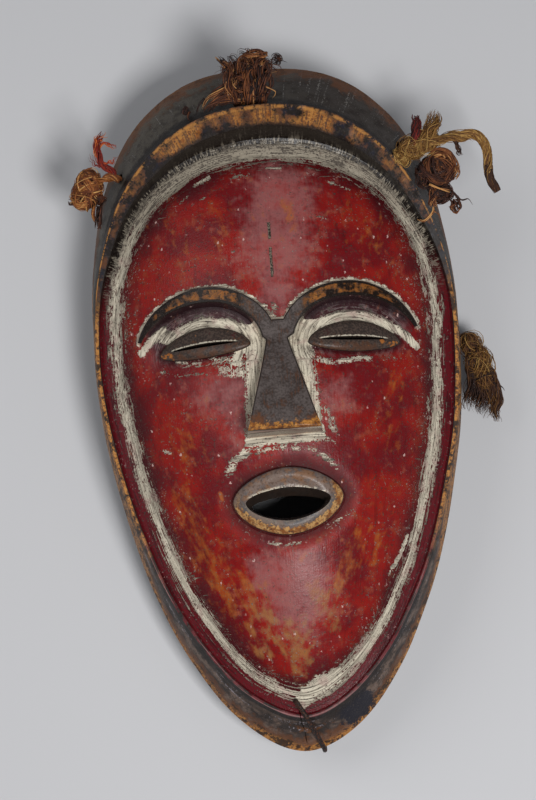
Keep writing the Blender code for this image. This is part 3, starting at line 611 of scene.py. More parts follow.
def knife_marks(points, zone):
    """Depth of wood that the knife and the wear took from the front."""
    face = smooth((zone - 6.6) / 0.8)
    cap = smooth((1.0 - zone) / 0.15) * smooth((points[:, 1] + 0.01) / 0.05)
    broad = BROAD_CUT * (0.5 + 0.5 * wave(points, 0.021, 1.3))
    fine = FINE_CUT * (0.5 + 0.5 * wave(points, 0.0042, 5.2))
    cuts = CAP_CUT * (1.0 - facets(points, 0.0105, 2.0)) * cap
    band = np.exp(-((zone - 2.5) / 0.75) ** 2)
    chips = CHIP_DEPTH * smooth((wave(points, 0.0085, 9.9) - 0.25) / 0.45) * band
    return broad * (0.35 + 0.65 * (1.0 - face)) + fine + cuts + chips


CRACK_LINE = ((-0.0042, -0.1935), (-0.0033, -0.1985), (-0.0028, -0.2030), (-0.0014, -0.2070),
              (-0.0010, -0.2115), (0.0003, -0.2150))
CRACK_HALF = 0.00035
CRACK_DEPTH = 0.0016


def crack_outline():
    """The hairline crack at the chin, as a thin closed outline."""
    line = np.array(CRACK_LINE)
    width = CRACK_HALF * np.array([0.2, 0.8, 1.0, 0.8, 1.0, 1.2])
    return np.vstack([line + np.column_stack([width, 0 * width]),
                      (line - np.column_stack([width, 0 * width]))[::-1]])


# %% [markdown]
# ## The whole carving
# Front, hollow, rim, side walls and the tunnels of mouth, slits and ties are one closed skin, as
# the wood is. The parts of the skin are kept apart by material, so that paint ends at the arris.

# %% Build the skin of the carving
PAINTED, WALL_WOOD, HOLLOW_WOOD = 0, 1, 2
WALL_ROWS = 17
HOLLOW_ROWS = 9
BACK_GRAIN = 0.0030
ADZE_WAVE = 0.0007
ADZE_CUT = 0.0016
ADZE_EDGE = 0.55
GOUGE_DEPTH = 0.0008


class Skin:
    """Vertices, faces and their materials, collected part by part."""

    def __init__(self):
        self.points, self.faces, self.slots, self.count = [], [], [], 0

    def add_points(self, points):
        """Add points and return their numbers."""
        self.points.append(np.array(points, dtype=float))
        first = self.count
        self.count += len(points)
        return np.arange(first, self.count)

    def add_faces(self, faces, slot):
        """Add faces given by point numbers."""
        self.faces.extend(tuple(int(i) for i in face) for face in faces)
        self.slots.extend([slot] * len(faces))

    def bridge(self, first, second, slot):
        """Join two loops of as many points with a strip of quads."""
        ahead, behind = np.roll(first, -1), np.roll(second, -1)
        self.add_faces(np.column_stack([first, ahead, behind, second]), slot)

    def rows_between(self, first, second, rows, slot, shape):
        """Join two loops with rows of quads; shape turns the straight points into the real ones."""
        everything = np.vstack(self.points)
        start, end = everything[first], everything[second]
        last = first
        for row in range(1, rows):
            share = row / rows
            numbers = self.add_points(shape(start + (end - start) * share, share))
            self.bridge(last, numbers, slot)
            last = numbers
        self.bridge(last, second, slot)


def wall_shape(points, share):
    """Adze marks on the outer wall: it is pushed in, never out."""
    reach = math.sin(math.pi * min(share * 1.15, 1.0))
    depth = np.array([noise.noise(Vector((x * 55, y * 55, z * 70))) for x, y, z in points])
    cut = np.array([noise.voronoi(Vector((x * 60, y * 60, z * 42)))[0][0] for x, y, z in points])
    inwards = ADZE_WAVE * (0.5 + 0.5 * depth) + ADZE_CUT * (ADZE_EDGE - np.clip(cut, 0.0, ADZE_EDGE))
    radius = np.hypot(points[:, 0], points[:, 1])
    points[:, :2] *= (1.0 - inwards * reach / radius)[:, None]
    return points


def hollow_shape(points, share):
    """Gouge marks on the inner wall."""
    depth = np.array([noise.noise(Vector((x * 90, y * 90, z * 45))) for x, y, z in points])
    radius = np.hypot(points[:, 0], points[:, 1])
    points[:, :2] *= (1.0 + GOUGE_DEPTH * depth * math.sin(math.pi * share) / radius)[:, None]
    return points


def carved_skin():
    """The whole carving, and what its paint follows at each point."""
    skin = Skin()
    angles = even_angles(OUTLINE, RING_POINTS)
    rings = [egg_loop(station.egg, angles) for station in FRONT]
    open_loops = [mouth_outline(0.0), slit_outline("left"), slit_outline("right")]
    open_loops += [hole_loop(name, 0.0) for name in TIE_PLACES]
    lines = [BROW_NOSE, offset_outline(BROW_NOSE, STEP / 2), offset_outline(BROW_NOSE, STEP),
             LIPS, offset_outline(LIPS, STEP), crack_outline()]
    for lid in LIDS.values():
        lines += [lid, offset_outline(lid, STEP / 2)]
    lines += scar_outlines()
    loops = rings + open_loops + lines
    loose = spread_points(OUTLINE, GRAIN, np.vstack(loops), GRAIN * 0.45)
    scar_lines = [(0.0, level) for high, low in SCAR_SPANS
                  for level in np.linspace(high - SCAR_WIDTH / 2, low + SCAR_WIDTH / 2, 9)]
    loose = np.vstack([loose, np.array(scar_lines), np.array(CRACK_LINE[1:-1])])
    holes = range(len(rings), len(rings) + len(open_loops))
    plan, faces, numbers = triangulate(loops, loose, holes)
    height, paint = front_shape(plan)
    height = height - knife_marks(plan, paint["zone"])
    crack = signed_distance(plan, crack_outline())
    height = height - CRACK_DEPTH * (crack > CRACK_HALF * 0.1)
    front = skin.add_points(np.column_stack([plan + hand_shift(plan), height]))
    skin.add_faces(front[faces], PAINTED)

    few_angles = angles[::2]
    back_rings = [egg_loop(station.egg, few_angles) for station in HOLLOW]
    back_open = [mouth_outline(MOUTH_TAPER), slit_outline("left"), slit_outline("right")]
    back_open += [hole_loop(name, 1.0) for name in TIE_PLACES]
    back_loops = back_rings + back_open
    back_loose = spread_points(HOLLOW[0].egg, BACK_GRAIN, np.vstack(back_loops), BACK_GRAIN * 0.45)
    back_holes = range(len(back_rings), len(back_loops))
    back_plan, back_faces, back_numbers = triangulate(back_loops, back_loose, back_holes)
    gouges = 0.0011 * (facets(back_plan, 0.0125, 4.0, 0.6) - 0.5)
    back_z = back_height(back_plan) + gouges
    back = skin.add_points(np.column_stack([back_plan + hand_shift(back_plan), back_z]))
    skin.add_faces(back[back_faces][:, ::-1], HOLLOW_WOOD)

    def at_floor(egg, angle):
        loop = egg_loop(egg, angle)
        return skin.add_points(np.column_stack([loop + hand_shift(loop), np.zeros(len(loop))]))

    rim_outer, rim_inner = at_floor(BACK_RIM, angles), at_floor(HOLLOW_RIM, few_angles)
    skin.rows_between(front[numbers[0]], rim_outer, WALL_ROWS, WALL_WOOD, wall_shape)
    skin.rows_between(rim_inner, back[back_numbers[0]], HOLLOW_ROWS, HOLLOW_WOOD, hollow_shape)
    half = len(rim_inner)
    for i in range(half):
        after = (i + 1) % half
        outer = [rim_outer[2 * i], rim_outer[2 * i + 1], rim_outer[2 * after]]
        skin.add_faces([(rim_inner[i], outer[1], outer[0]), (rim_inner[i], rim_inner[after], outer[1]),
                        (rim_inner[after], outer[2], outer[1])], WALL_WOOD)
    for number in range(len(open_loops)):
        outer = front[numbers[len(rings) + number]]
        inner = back[back_numbers[len(back_rings) + number]]
        skin.rows_between(inner, outer, 5, WALL_WOOD, lambda points, share: points)
    return skin, plan, paint


skin, plan, paint = carved_skin()
print("carving:", skin.count, "points,", len(skin.faces), "faces")

# %% [markdown]
# ## What the paint follows
# Paint and wear lie where the carver and the years put them: white clay in the channel and round
# the eyes, orange wood where hands rubbed. Each is a value per point, made from distances to the
# carved lines or to a few strokes. The materials then break these values up with noise.

# %% Strokes in millimetres (width, strength, then the line) and patches in metres
Patch = namedtuple("Patch", "x y radius strength")
CLAY_STROKES = (
    (1.0, 0.74, (-53.5, -13.4), (-47.3, -15.6), (-40.0, -16.8)),
    (0.9, 0.66, (-50.0, -17.2), (-40.0, -18.6), (-30.0, -19.0)),
    (2.2, 0.50, (-62.0, -17.5), (-57.0, -20.0), (-51.9, -21.5)),
    (1.6, 0.50, (-51.0, -21.5), (-41.5, -22.5), (-30.0, -24.0)),
    (3.8, 0.66, (-33.0, -16.5), (-26.0, -18.0), (-20.0, -20.0)),
    (5.0, 0.66, (-29.0, -23.0), (-20.0, -25.0)),
    (3.0, 1.00, (-13.3, -9.4), (-19.9, -14.1), (-22.5, -19.0)),
    (2.6, 0.95, (7.4, -11.0), (11.1, -16.6), (14.9, -21.2)),
    (3.4, 0.56, (15.0, -21.5), (12.0, -29.0)),
    (3.0, 0.60, (20.2, -45.9), (23.9, -51.4), (25.3, -58.8)),
    (2.6, 0.60, (-20.5, -65.5), (-12.2, -65.6), (-0.4, -65.5), (9.7, -66.8), (17.2, -69.2)),
    (3.6, 0.66, (-19.9, -65.1), (-25.8, -68.6), (-30.4, -74.2)),
    (2.6, 0.62, (16.2, -69.0), (22.0, -73.4), (25.3, -77.7)),
    (2.2, 0.60, (19.0, -62.0), (25.0, -64.0)),
    (2.6, 0.70, (19.5, -20.8), (28.0, -22.2)),
    (2.0, 0.76, (31.0, -22.2), (39.0, -20.5), (48.0, -20.3)),
    (2.0, 0.50, (54.0, -20.5), (64.0, -19.5)),
    (1.5, 0.66, (-12.7, -112.0), (-4.2, -114.0), (3.5, -113.5)),
    (1.5, 0.66, (-63.3, -58.6), (-59.9, -61.0)),
    (1.4, 0.58, (18.4, -107.1), (27.7, -100.9), (35.0, -96.6)),
    (1.0, 0.46, (-27.0, -102.0), (-18.0, -109.0), (-8.0, -115.0)),
    (1.3, 0.85, (50.0, -129.0), (55.0, -121.5), (60.0, -111.0)),
    (1.2, 0.60, (47.0, -134.0), (50.0, -129.0)),
    (1.7, 0.74, (-37.0, 79.5), (-29.0, 83.0)),
    (2.0, 0.60, (-16.0, 81.2), (-8.5, 82.2)),
    (0.9, 0.74, (1.0, 85.0), (9.0, 84.5)),
    (1.2, 0.68, (32.0, 76.5), (45.0, 71.2)),
    (1.0, 0.66, (-35.0, 70.5), (-32.2, 71.5)),
    (1.2, 0.60, (-46.5, 70.0), (-41.0, 74.2)),
    (1.2, 0.62, (-20.0, 40.5), (-18.8, 39.5)),
    (1.8, 0.56, (26.0, 56.0), (30.0, 54.0)),
    (1.4, 0.50, (-45.0, 33.0), (-38.0, 35.0)),
    (2.4, 1.0, (-71.6, -5.2), (-66.2, 0.0), (-59.2, 5.0)),
    (2.4, 1.0, (72.6, -12.6), (68.6, -8.3), (62.1, -3.0)),
    (2.0, 0.9, (60.0, -6.0), (53.0, 0.0), (45.0, 4.0)),
    (5.0, 0.95, (-1.0, -191.5), (2.0, -188.0), (9.0, -184.5), (18.0, -181.0)),
    (3.0, 0.62, (-26.0, -176.0), (-20.0, -179.5)),
    (3.4, 0.60, (-2.0, 1.0), (0.0, 8.0)),
)
WEAR_STROKES = (
    (6.0, 0.72, (-56.0, -86.0), (-47.8, -110.4), (-40.0, -129.0), (-33.0, -142.0)),
    (4.0, 0.48, (-43.0, -108.0), (-30.0, -133.0)),
    (6.2, 0.82, (-29.0, -128.0), (-21.7, -141.6), (-15.9, -152.0), (-12.0, -164.0)),
    (4.5, 0.66, (-27.0, -154.0), (-20.0, -166.6)),
    (5.2, 0.76, (9.0, -138.0), (13.4, -149.1), (15.0, -156.0)),
    (6.0, 0.80, (-5.0, -155.3), (-0.5, -163.1), (1.0, -170.0)),
    (5.5, 0.68, (34.0, -111.0), (28.4, -124.2), (22.6, -134.0), (16.0, -140.0)),
    (3.5, 0.60, (44.0, -113.0), (41.0, -125.0)),
    (4.5, 0.56, (-1.4, -175.3), (0.0, -183.0)),
    (5.5, 0.60, (-26.0, 64.0), (-22.5, 53.0), (-24.0, 42.0)),
    (6.0, 0.40, (-49.0, 52.0), (-43.0, 42.0)),
    (3.8, 0.60, (11.0, 62.0), (12.5, 50.0)),
    (6.0, 0.50, (56.0, 50.0), (54.0, 40.0)),
    (7.0, 0.56, (-49.5, -52.0), (-50.0, -68.0)),
    (5.0, 0.70, (59.4, -30.0), (57.0, -40.0)),
    (6.0, 0.44, (56.0, -50.0), (53.0, -64.0)),
    (0.9, 1.30, (-35.2, -84.8), (-34.6, -87.8)),
)
# Painted highlights: soft patches where the lamp's reflection lies on the glossy red, on the forehead, under
# the mouth and beside the nose.
PAINTED_SHEEN_PATCHES = (
    Patch(0.0090, 0.0720, 0.017, 0.90), Patch(0.0040, 0.0560, 0.019, 0.70),
    Patch(0.0060, 0.0330, 0.016, 0.85), Patch(0.0000, 0.0130, 0.010, 0.75),
    Patch(-0.0140, 0.0380, 0.010, 0.40), Patch(-0.0040, -0.1360, 0.018, 0.95),
    Patch(-0.0170, -0.1250, 0.011, 0.60), Patch(0.0090, -0.1320, 0.011, 0.60),
    Patch(0.0000, -0.1500, 0.013, 0.55), Patch(-0.0250, -0.0365, 0.014, 0.70),
    Patch(0.0273, -0.0400, 0.013, 0.75), Patch(-0.0420, -0.0330, 0.012, 0.45),
    Patch(-0.0230, -0.0600, 0.011, 0.50),
)
BLACK_PATCHES = (
    Patch(0.0240, -0.1997, 0.0075, 1.0), Patch(0.0310, -0.1930, 0.0060, 0.9),
    Patch(-0.0062, 0.1100, 0.0040, 0.9), Patch(0.0120, 0.1120, 0.0042, 1.0),
    Patch(0.0190, 0.1110, 0.0036, 0.8), Patch(-0.0180, 0.1080, 0.0050, 0.8),
    Patch(-0.0280, 0.1050, 0.0048, 0.8), Patch(-0.0560, 0.0885, 0.0055, 0.8),
    Patch(0.0420, 0.1010, 0.0050, 0.9), Patch(0.0560, 0.0900, 0.0045, 0.8),
    Patch(0.0006, -0.1800, 0.0030, 0.7),
)

# %% Values per point
ARC_LENGTH = 0.036
BAND_ACROSS = 0.006
CLAY_RING = 0.0022
CLAY_FADE = 0.0050
BESIDE_TOP = 0.0140
BESIDE_FOOT = 0.0030
BESIDE_REACH = 0.034
NARROWEST_SWEEP = 0.25
SLANT = math.radians(30.0)
SLANT_ROUNDING = 0.010
SLANT_SPREAD = 0.6


def stroke_value(points, strokes):
    """The strongest of several soft strokes at each point."""
    value = np.zeros(len(points))
    for width, strength, *line in strokes:
        near = 1.0 - smooth(line_distance(1000.0 * points, line) / (2.0 * width))
        value = np.maximum(value, strength * near)
    return value


def patch_value(points, patches):
    """The sum of several soft patches at each point, at most 1."""
    value = np.zeros(len(points))
    for patch in patches:
        square = (points[:, 0] - patch.x) ** 2 + (points[:, 1] - patch.y) ** 2
        value += patch.strength * np.exp(-square / patch.radius ** 2)
    return np.clip(value, 0.0, 1.0)


def in_socket(points, side):
    """Place in a socket as shares of the brow's arc: outwards, upwards and distance from its centre."""
    centre = BROW_CENTRES[side]
    outward = SIDES[side] * (points[:, 0] - centre[0]) / BROW_SPAN
    up = (points[:, 1] - centre[1]) / BROW_RISE
    return outward, up, np.sqrt(outward ** 2 + up ** 2)


def socket_clay(points):
    """White clay between each lid and its brow: a thick ring by the lid, thin streaks by the brow."""
    value = np.zeros(len(points))
    for side in SIDES:
        outward, up, level = in_socket(points, side)
        gap = -signed_distance(points, LIDS[side])
        ring = 1.0 - smooth((gap - CLAY_RING) / CLAY_FADE)
        low_corner = smooth((outward - 0.42) / 0.2) * smooth((0.34 - up) / 0.14)
        body = (0.44 + 0.56 * ring) * smooth((0.92 - level) / 0.16)
        body = body * smooth((up + 0.02) / 0.14) * (1.0 - low_corner)
        corner = smooth((-outward - 0.45) / 0.35) * smooth((0.55 - up) / 0.35)
        inner = corner * smooth((1.02 - level) / 0.06) * smooth((up + 0.60) / 0.2)
        tip = 0.3 * ring * smooth((outward - 0.45) / 0.3)
        tip = tip * smooth((up - 0.02) / 0.1) * smooth((1.12 - level) / 0.1)
        value = np.maximum(value, np.maximum(body, np.maximum(tip, inner)))
    return value


def nose_clay(points, brow_nose):
    """Clay along the nose: broad and dense at the eye corners, thin below; and a strip under its base."""
    fall = np.clip((-0.012 - points[:, 1]) / 0.045, 0.0, 1.0)
    width = BESIDE_TOP + (BESIDE_FOOT - BESIDE_TOP) * fall ** 0.7
    here = (points[:, 1] < 0.002) & (points[:, 1] > NOSE_BASE) & (np.abs(points[:, 0]) < BESIDE_REACH)
    beside = here * (1.0 - 0.34 * fall) * (1.0 - smooth((-brow_nose - 0.25 * width) / (1.5 * width)))
    below = (points[:, 1] < NOSE_BASE) & (np.abs(points[:, 0]) < NOSE_BASE_HALF + 0.002)
    strip = below * (1.0 - smooth((-brow_nose - 0.0026) / 0.0060))
    return np.maximum(beside, strip)


def under_brow(points):
    """1 below the brows' middle line, on the side of the eyes, and 0 on the forehead."""
    value = np.zeros(len(points))
    for side in SIDES:
        _, up, level = in_socket(points, side)
        value = np.maximum(value, 1.0 * ((level < 1.0) | (up < -0.35)))
    return value


def brush_space(points, zone):
    """Coordinates whose third axis runs across the brush strokes: round the face, round the eyes."""
    angle = np.arctan2(points[:, 1], points[:, 0])
    space = np.column_stack([0.13 * np.cos(angle), 0.19 * np.sin(angle), BAND_ACROSS * zone])
    inner = zone > 7.25
    space[inner] = np.column_stack([points[inner, 0], 0.3 * points[inner, 1], points[inner, 1]])
    beside = inner & (points[:, 1] < -0.012) & (points[:, 1] > NOSE_BASE) & (np.abs(points[:, 0]) < 0.030)
    space[beside] = np.column_stack([points[beside, 1], 0 * points[beside, 1], points[beside, 0]])
    for side in SIDES:
        outward, up, level = in_socket(points, side)
        here = (level < 1.08) & (up > -0.30)
        turn = np.arctan2(up, outward)
        arc = np.column_stack([ARC_LENGTH * np.cos(turn), ARC_LENGTH * np.sin(turn), BROW_RISE * level])
        space[here] = arc[here] + (SIDES[side] * 0.5, 0.0, 0.0)
    return space


def sweep_space(points):
    """Coordinates whose first axis runs across strokes that all lead to the crown and to the chin."""
    reach = np.where(points[:, 1] > 0, HEAD_RISE, CHIN_DROP)
    narrowing = np.sqrt(np.clip(1.0 - (points[:, 1] / reach) ** 2, NARROWEST_SWEEP ** 2, 1.0))
    return np.column_stack([points[:, 0] / narrowing, points[:, 1], 0 * narrowing])


def slant_space(points):
    """Coordinates whose second axis slants down towards the chin from either side."""
    out = np.sqrt(points[:, 0] ** 2 + SLANT_ROUNDING ** 2)
    across = points[:, 1] * math.sin(SLANT) - out * math.cos(SLANT)
    along = points[:, 1] * math.cos(SLANT) + out * math.sin(SLANT)
    return np.column_stack([across, along, points[:, 0] * SLANT_SPREAD])


def slit_gap(points):
    """Distance to the nearer slit, and height above it."""
    gap = np.full(len(points), 1.0)
    rise = np.zeros(len(points))
    for side in SIDES:
        distance = -signed_distance(points, slit_outline(side))
        nearer = distance < gap
        gap = np.where(nearer, distance, gap)
        rise = np.where(nearer, points[:, 1] - EYE_CENTRES[side][1] - 0.0012, rise)
    return gap, rise


paint["clay"] = np.maximum(stroke_value(plan, CLAY_STROKES), socket_clay(plan))
paint["clay"] = np.maximum(paint["clay"], nose_clay(plan, paint["brow"]))
paint["wear"] = stroke_value(plan, WEAR_STROKES)
paint["sheen"] = patch_value(plan, PAINTED_SHEEN_PATCHES)
paint["black"] = patch_value(plan, BLACK_PATCHES)
paint["under"] = under_brow(plan)
paint["socket"] = (socket_depth(plan, "left") + socket_depth(plan, "right")) / SOCKET_DEPTH
angle_of_plan = np.arctan2(plan[:, 1], plan[:, 0])
paint["crown"] = np.clip(np.sin(angle_of_plan), 0.0, 1.0)
paint["chin"] = np.clip(-np.sin(angle_of_plan), 0.0, 1.0)
paint["slit"], paint["slit_rise"] = slit_gap(plan)
paint["mouth"] = -signed_distance(plan, mouth_outline(0.0))
MILLIMETRES = ("brow", "lip", "lid", "slit", "slit_rise", "mouth")
for name in MILLIMETRES:
    paint[name] = paint[name] * 1000.0
spaces = {"brush": brush_space(plan, paint["zone"]), "sweep": sweep_space(plan), "slant": slant_space(plan)}
print("paint values:", sorted(paint), "and spaces:", sorted(spaces))

# %% [markdown]
# ## Turning numbers into an object
# The skin becomes a mesh with three material slots, and the paint values become attributes that
# the materials read. Points off the front get a neutral value, because their materials don't ask.


# %% Make the mask object
def add_attribute(mesh, name, values, kind="FLOAT"):
    """Store one value or vector per point under a name."""
    attribute = mesh.attributes.new(name, kind, "POINT")
    field = "vector" if kind == "FLOAT_VECTOR" else "value"
    attribute.data.foreach_set(field, np.array(values, dtype=np.float32).ravel())


def mask_object():
    """The carving as one object, placed where its solid lies."""
    mesh = bpy.data.meshes.new("painted_mask")
    points = np.vstack(skin.points)
    mesh.from_pydata(points.tolist(), [], skin.faces)
    mesh.polygons.foreach_set("material_index", skin.slots)
    mesh.shade_smooth()
    mesh.set_sharp_from_angle(angle=math.radians(48))
    for name, values in paint.items():
        padded = np.zeros(len(points))
        padded[:len(values)] = values
        add_attribute(mesh, name, padded)
    for name, values in spaces.items():
        padded = np.zeros((len(points), 3))
        padded[:len(plan)] = values
        add_attribute(mesh, name, padded, "FLOAT_VECTOR")
    item = bpy.data.objects.new("painted_mask", mesh)
    bpy.context.scene.collection.objects.link(item)
    item.location = ORIGIN
    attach(item, "root")
    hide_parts("carved_mask")
    return item


mask = mask_object()
print("mask triangles:", sum(len(face) - 2 for face in skin.faces))

# %% [markdown]
# ## Writing shader maths as maths
# A material is a graph of nodes, and long chains of Math nodes are hard to read. A small class
# holds one socket and turns plus, minus and times into nodes, so a mask of paint reads as the
# sentence that describes it. Colours go through Mix nodes, which keep their hue.


# %% One socket with arithmetic, and a material that is being built
class Wire:
    """One output of a node, which Python operators can work on."""

    def __init__(self, finish, socket):
        self.finish = finish
        self.socket = socket

    def maths(self, operation, first, second):
        """A Math node of two values."""
        return self.finish.node("ShaderNodeMath", {"operation": operation}, {0: first, 1: second})

    def __add__(self, other):
        return self.maths("ADD", self, other)

    def __radd__(self, other):
        return self.maths("ADD", other, self)

    def __sub__(self, other):
        return self.maths("SUBTRACT", self, other)

    def __rsub__(self, other):
        return self.maths("SUBTRACT", other, self)

    def __mul__(self, other):
        return self.maths("MULTIPLY", self, other)

    def __rmul__(self, other):
        return self.maths("MULTIPLY", other, self)

    def highest(self, other):
        """The larger of two values."""
        return self.maths("MAXIMUM", self, other)

    def lowest(self, other):
        """The smaller of two values."""
        return self.maths("MINIMUM", self, other)

    def size(self):
        """The value without its sign."""
        return self.maths("ABSOLUTE", self, 0.0)

    def between(self, low, high):
        """0 below low, 1 above high, and eased between them."""
        return self.finish.node("ShaderNodeMapRange", {"interpolation_type": "SMOOTHSTEP"},
                                {"Value": self, "From Min": low, "From Max": high})

    def centred(self):
        """Noise that lay round 0.5, spread to about -1 to 1."""
        return (self - 0.5) * 4.2

    def mixed(self, colour, factor):
        """This colour turned into another by a factor."""
        return self.finish.blend(factor, self, colour)


class Finish:
    """A principled material under construction."""

    def __init__(self, name, specular=0.5):
        self.material = bpy.data.materials.new(name)
        self.material.use_nodes = True
        self.tree = self.material.node_tree
        self.shader = self.tree.nodes["Principled BSDF"]
        self.shader.inputs["Specular IOR Level"].default_value = specular

    def node(self, kind, settings=None, inputs=None, output=0):
        """Add a node: its settings first, then the values or links of its sockets."""
        made = self.tree.nodes.new(kind)
        for key, value in (settings or {}).items():
            if key == "stops":
                self.set_stops(made.color_ramp, value)
            else:
                setattr(made, key, value)
        for key, value in (inputs or {}).items():
            if isinstance(value, Wire):
                self.tree.links.new(value.socket, made.inputs[key])
            else:
                made.inputs[key].default_value = value
        return Wire(self, made.outputs[output])

    @staticmethod
    def set_stops(ramp, stops):
        """Give a colour ramp its stops: (position, colour) pairs."""
        while len(ramp.elements) < len(stops):
            ramp.elements.new(0.5)
        for element, (position, colour) in zip(ramp.elements, stops):
            element.position = position
            element.color = colour

    def point_value(self, name):
        """A value that the mesh stores under a name."""
        return self.node("ShaderNodeAttribute", {"attribute_name": name}, {}, 2)

    def point_vector(self, name):
        """A vector that the mesh stores under a name."""
        return self.node("ShaderNodeAttribute", {"attribute_name": name}, {}, 1)

    def place(self):
        """The place on the object, in metres."""
        return self.node("ShaderNodeTexCoord", {}, {}, 3)

    def axis(self, number):
        """One coordinate of the place, in millimetres: 0 across, 1 along, 2 up."""
        return self.node("ShaderNodeSeparateXYZ", {}, {0: self.place()}, number) * 1000.0

    def scaled_place(self, size, where, stretch, shift):
        """Coordinates in which lumps of a size are one unit wide."""
        spread = tuple(1.0 / (size * factor) for factor in stretch)
        return self.node("ShaderNodeVectorMath", {"operation": "MULTIPLY_ADD"},
                         {0: where or self.place(), 1: spread, 2: (shift, shift, shift)})

    def grain(self, size, detail=3.0, where=None, stretch=(1.0, 1.0, 1.0), shift=0.0):
        """Noise from 0 to 1 with lumps of a size; stretch above 1 draws them out along an axis."""
        scaled = self.scaled_place(size, where, stretch, shift)
        return self.node("ShaderNodeTexNoise", {}, {"Vector": scaled, "Scale": 1.0, "Detail": detail})

    def specks(self, size, stretch):
        """Distance to the nearest of many scattered specks, as a share of their spacing."""
        scaled = self.scaled_place(size, None, stretch, 0.0)
        return self.node("ShaderNodeTexVoronoi", {}, {"Vector": scaled, "Scale": 1.0})

    def blend(self, factor, first, second):
        """A colour between two, by a factor."""
        return self.node("ShaderNodeMix", {"data_type": "RGBA"}, {0: factor, 6: first, 7: second}, 2)

    def bump(self, height, distance, strength=1.0):
        """A normal that follows a height in metres."""
        return self.node("ShaderNodeBump", {}, {"Height": height, "Distance": distance, "Strength": strength})

    def finish(self, colour, roughness, normal=None):
        """Connect colour, roughness and normal to the shader."""
        for name, value in (("Base Color", colour), ("Roughness", roughness), ("Normal", normal)):
            if isinstance(value, Wire):
                self.tree.links.new(value.socket, self.shader.inputs[name])
            elif value is not None:
                self.shader.inputs[name].default_value = value
        return self.material


def srgb(red, green, blue):
    """A colour as a camera shows it, 0 to 255, turned into linear light."""
    parts = [value / 255 for value in (red, green, blue)]
    return (*(part / 12.92 if part < 0.04 else ((part + 0.055) / 1.055) ** 2.4 for part in parts), 1.0)


print("shader helpers ready")

# %% [markdown]
# ## Paint colours
# Most colours are those of the real stuff: camwood red, white river clay, soot, and the orange of
# the wood where all of it has worn off. The pink on the red and the pale specks on the flange are
# painted highlights.

# %% Palette
RED_DEEP = srgb(112, 13, 18)
RED_WARM = srgb(142, 24, 17)
RED_DARK = srgb(52, 9, 14)
MAROON = srgb(96, 18, 26)
# Painted highlight colour, laid over the red.
PAINTED_SHEEN = srgb(156, 98, 96)
ORANGE = srgb(170, 88, 30)
OCHRE = srgb(172, 112, 48)
OLIVE_WEAR = srgb(150, 112, 66)
GOLD_WOOD = srgb(184, 126, 60)
AMBER_WOOD = srgb(136, 80, 30)
ORANGE_RED = srgb(146, 50, 20)
CLAY_SOOTY = srgb(98, 90, 78)
CLAY = srgb(224, 214, 192)
CLAY_SHADE = srgb(150, 140, 124)
CLAY_PINK = srgb(170, 124, 122)
CLAY_GAP = srgb(70, 62, 56)
FLECK = srgb(206, 172, 164)
SOCKET_DARK = srgb(46, 26, 30)
SOCKET_GREY = srgb(118, 104, 104)
SOOT = srgb(27, 19, 15)
SLATE = srgb(94, 85, 82)
SLATE_DARK = srgb(48, 40, 37)
BROWN = srgb(88, 56, 38)
UNDERSIDE = srgb(158, 146, 130)
BLACK_BROWN = srgb(27, 17, 11)
RUST = srgb(108, 64, 34)
LID = srgb(84, 70, 62)
CAP_LIGHT = srgb(82, 76, 67)
CAP_DARK = srgb(50, 42, 36)
CAP_STROKE = srgb(142, 138, 132)
FLANGE = srgb(112, 92, 80)
# Painted highlight colour for the flange.
PAINTED_GLINT = srgb(186, 176, 184)
BLACK_BLUE = srgb(26, 24, 34)
LIP_GREY = srgb(122, 104, 94)
LIP_SLATE = srgb(92, 88, 88)
LIP_PALE = srgb(196, 150, 92)
WOOD_DARK = srgb(58, 40, 28)
WOOD_RAW = srgb(120, 84, 54)

# %% [markdown]
# ## The painted front
# The layers go on as the maker put them on: red over the face, white clay in the channel and round
# the eyes, soot on brows, nose, lids and cap, and then the wear that takes them off again. Each
# layer is a mask worked out from the stored values, roughened by noise.


# %% Noises that the layers share
class Layers(SimpleNamespace):
    """The stored values and noises of one material, by name."""

    def stir(self, **weights):
        """Some of the noises, centred on 0 and added up by weight."""
        parts = [getattr(self, name).centred() * weight for name, weight in weights.items()]
        return sum(parts[1:], parts[0])


def shared_noises(f):
    """The stored values and the noises, as wires with short names."""
    names = ("zone", "crown", "chin", "brow", "lid", "lip", "under", "clay", "wear", "sheen", "black",
             "socket", "slit", "slit_rise", "mouth", "scar")
    wires = {name: f.point_value(name) for name in names}
    brush = f.point_vector("brush")
    sweep = f.point_vector("sweep")
    slant = f.point_vector("slant")
    x, y = f.axis(0), f.axis(1)
    wires.update(
        x=x,
        y=y,
        x_size=x.size(),
        blotch=f.grain(0.022, 4.0),
        mottle=f.grain(0.0070, 4.0, shift=4.0),
        ragged=f.grain(0.0032, 3.0, shift=2.0),
        fine=f.grain(0.0011, 3.0, shift=9.0),
        upright=f.grain(0.0009, 3.0, where=sweep, stretch=(1.0, 9.0, 1.0)),
        streaks=f.grain(0.0030, 3.0, where=sweep, stretch=(1.0, 6.0, 1.0), shift=1.0),
        lines=f.grain(0.00075, 2.0, where=brush, stretch=(20.0, 20.0, 1.0)),
        sweeps=f.grain(0.0026, 3.0, where=brush, stretch=(9.0, 9.0, 1.0), shift=5.0),
        slants=f.grain(0.0034, 3.0, where=slant, stretch=(1.0, 5.0, 1.0), shift=3.0),
        nicks=f.grain(0.00075, 2.0, where=brush, stretch=(1.6, 1.6, 9.0), shift=7.0),
    )
    p = Layers(**wires)
    p.crumb = p.stir(lines=0.36, fine=0.42, ragged=0.30)
    return p
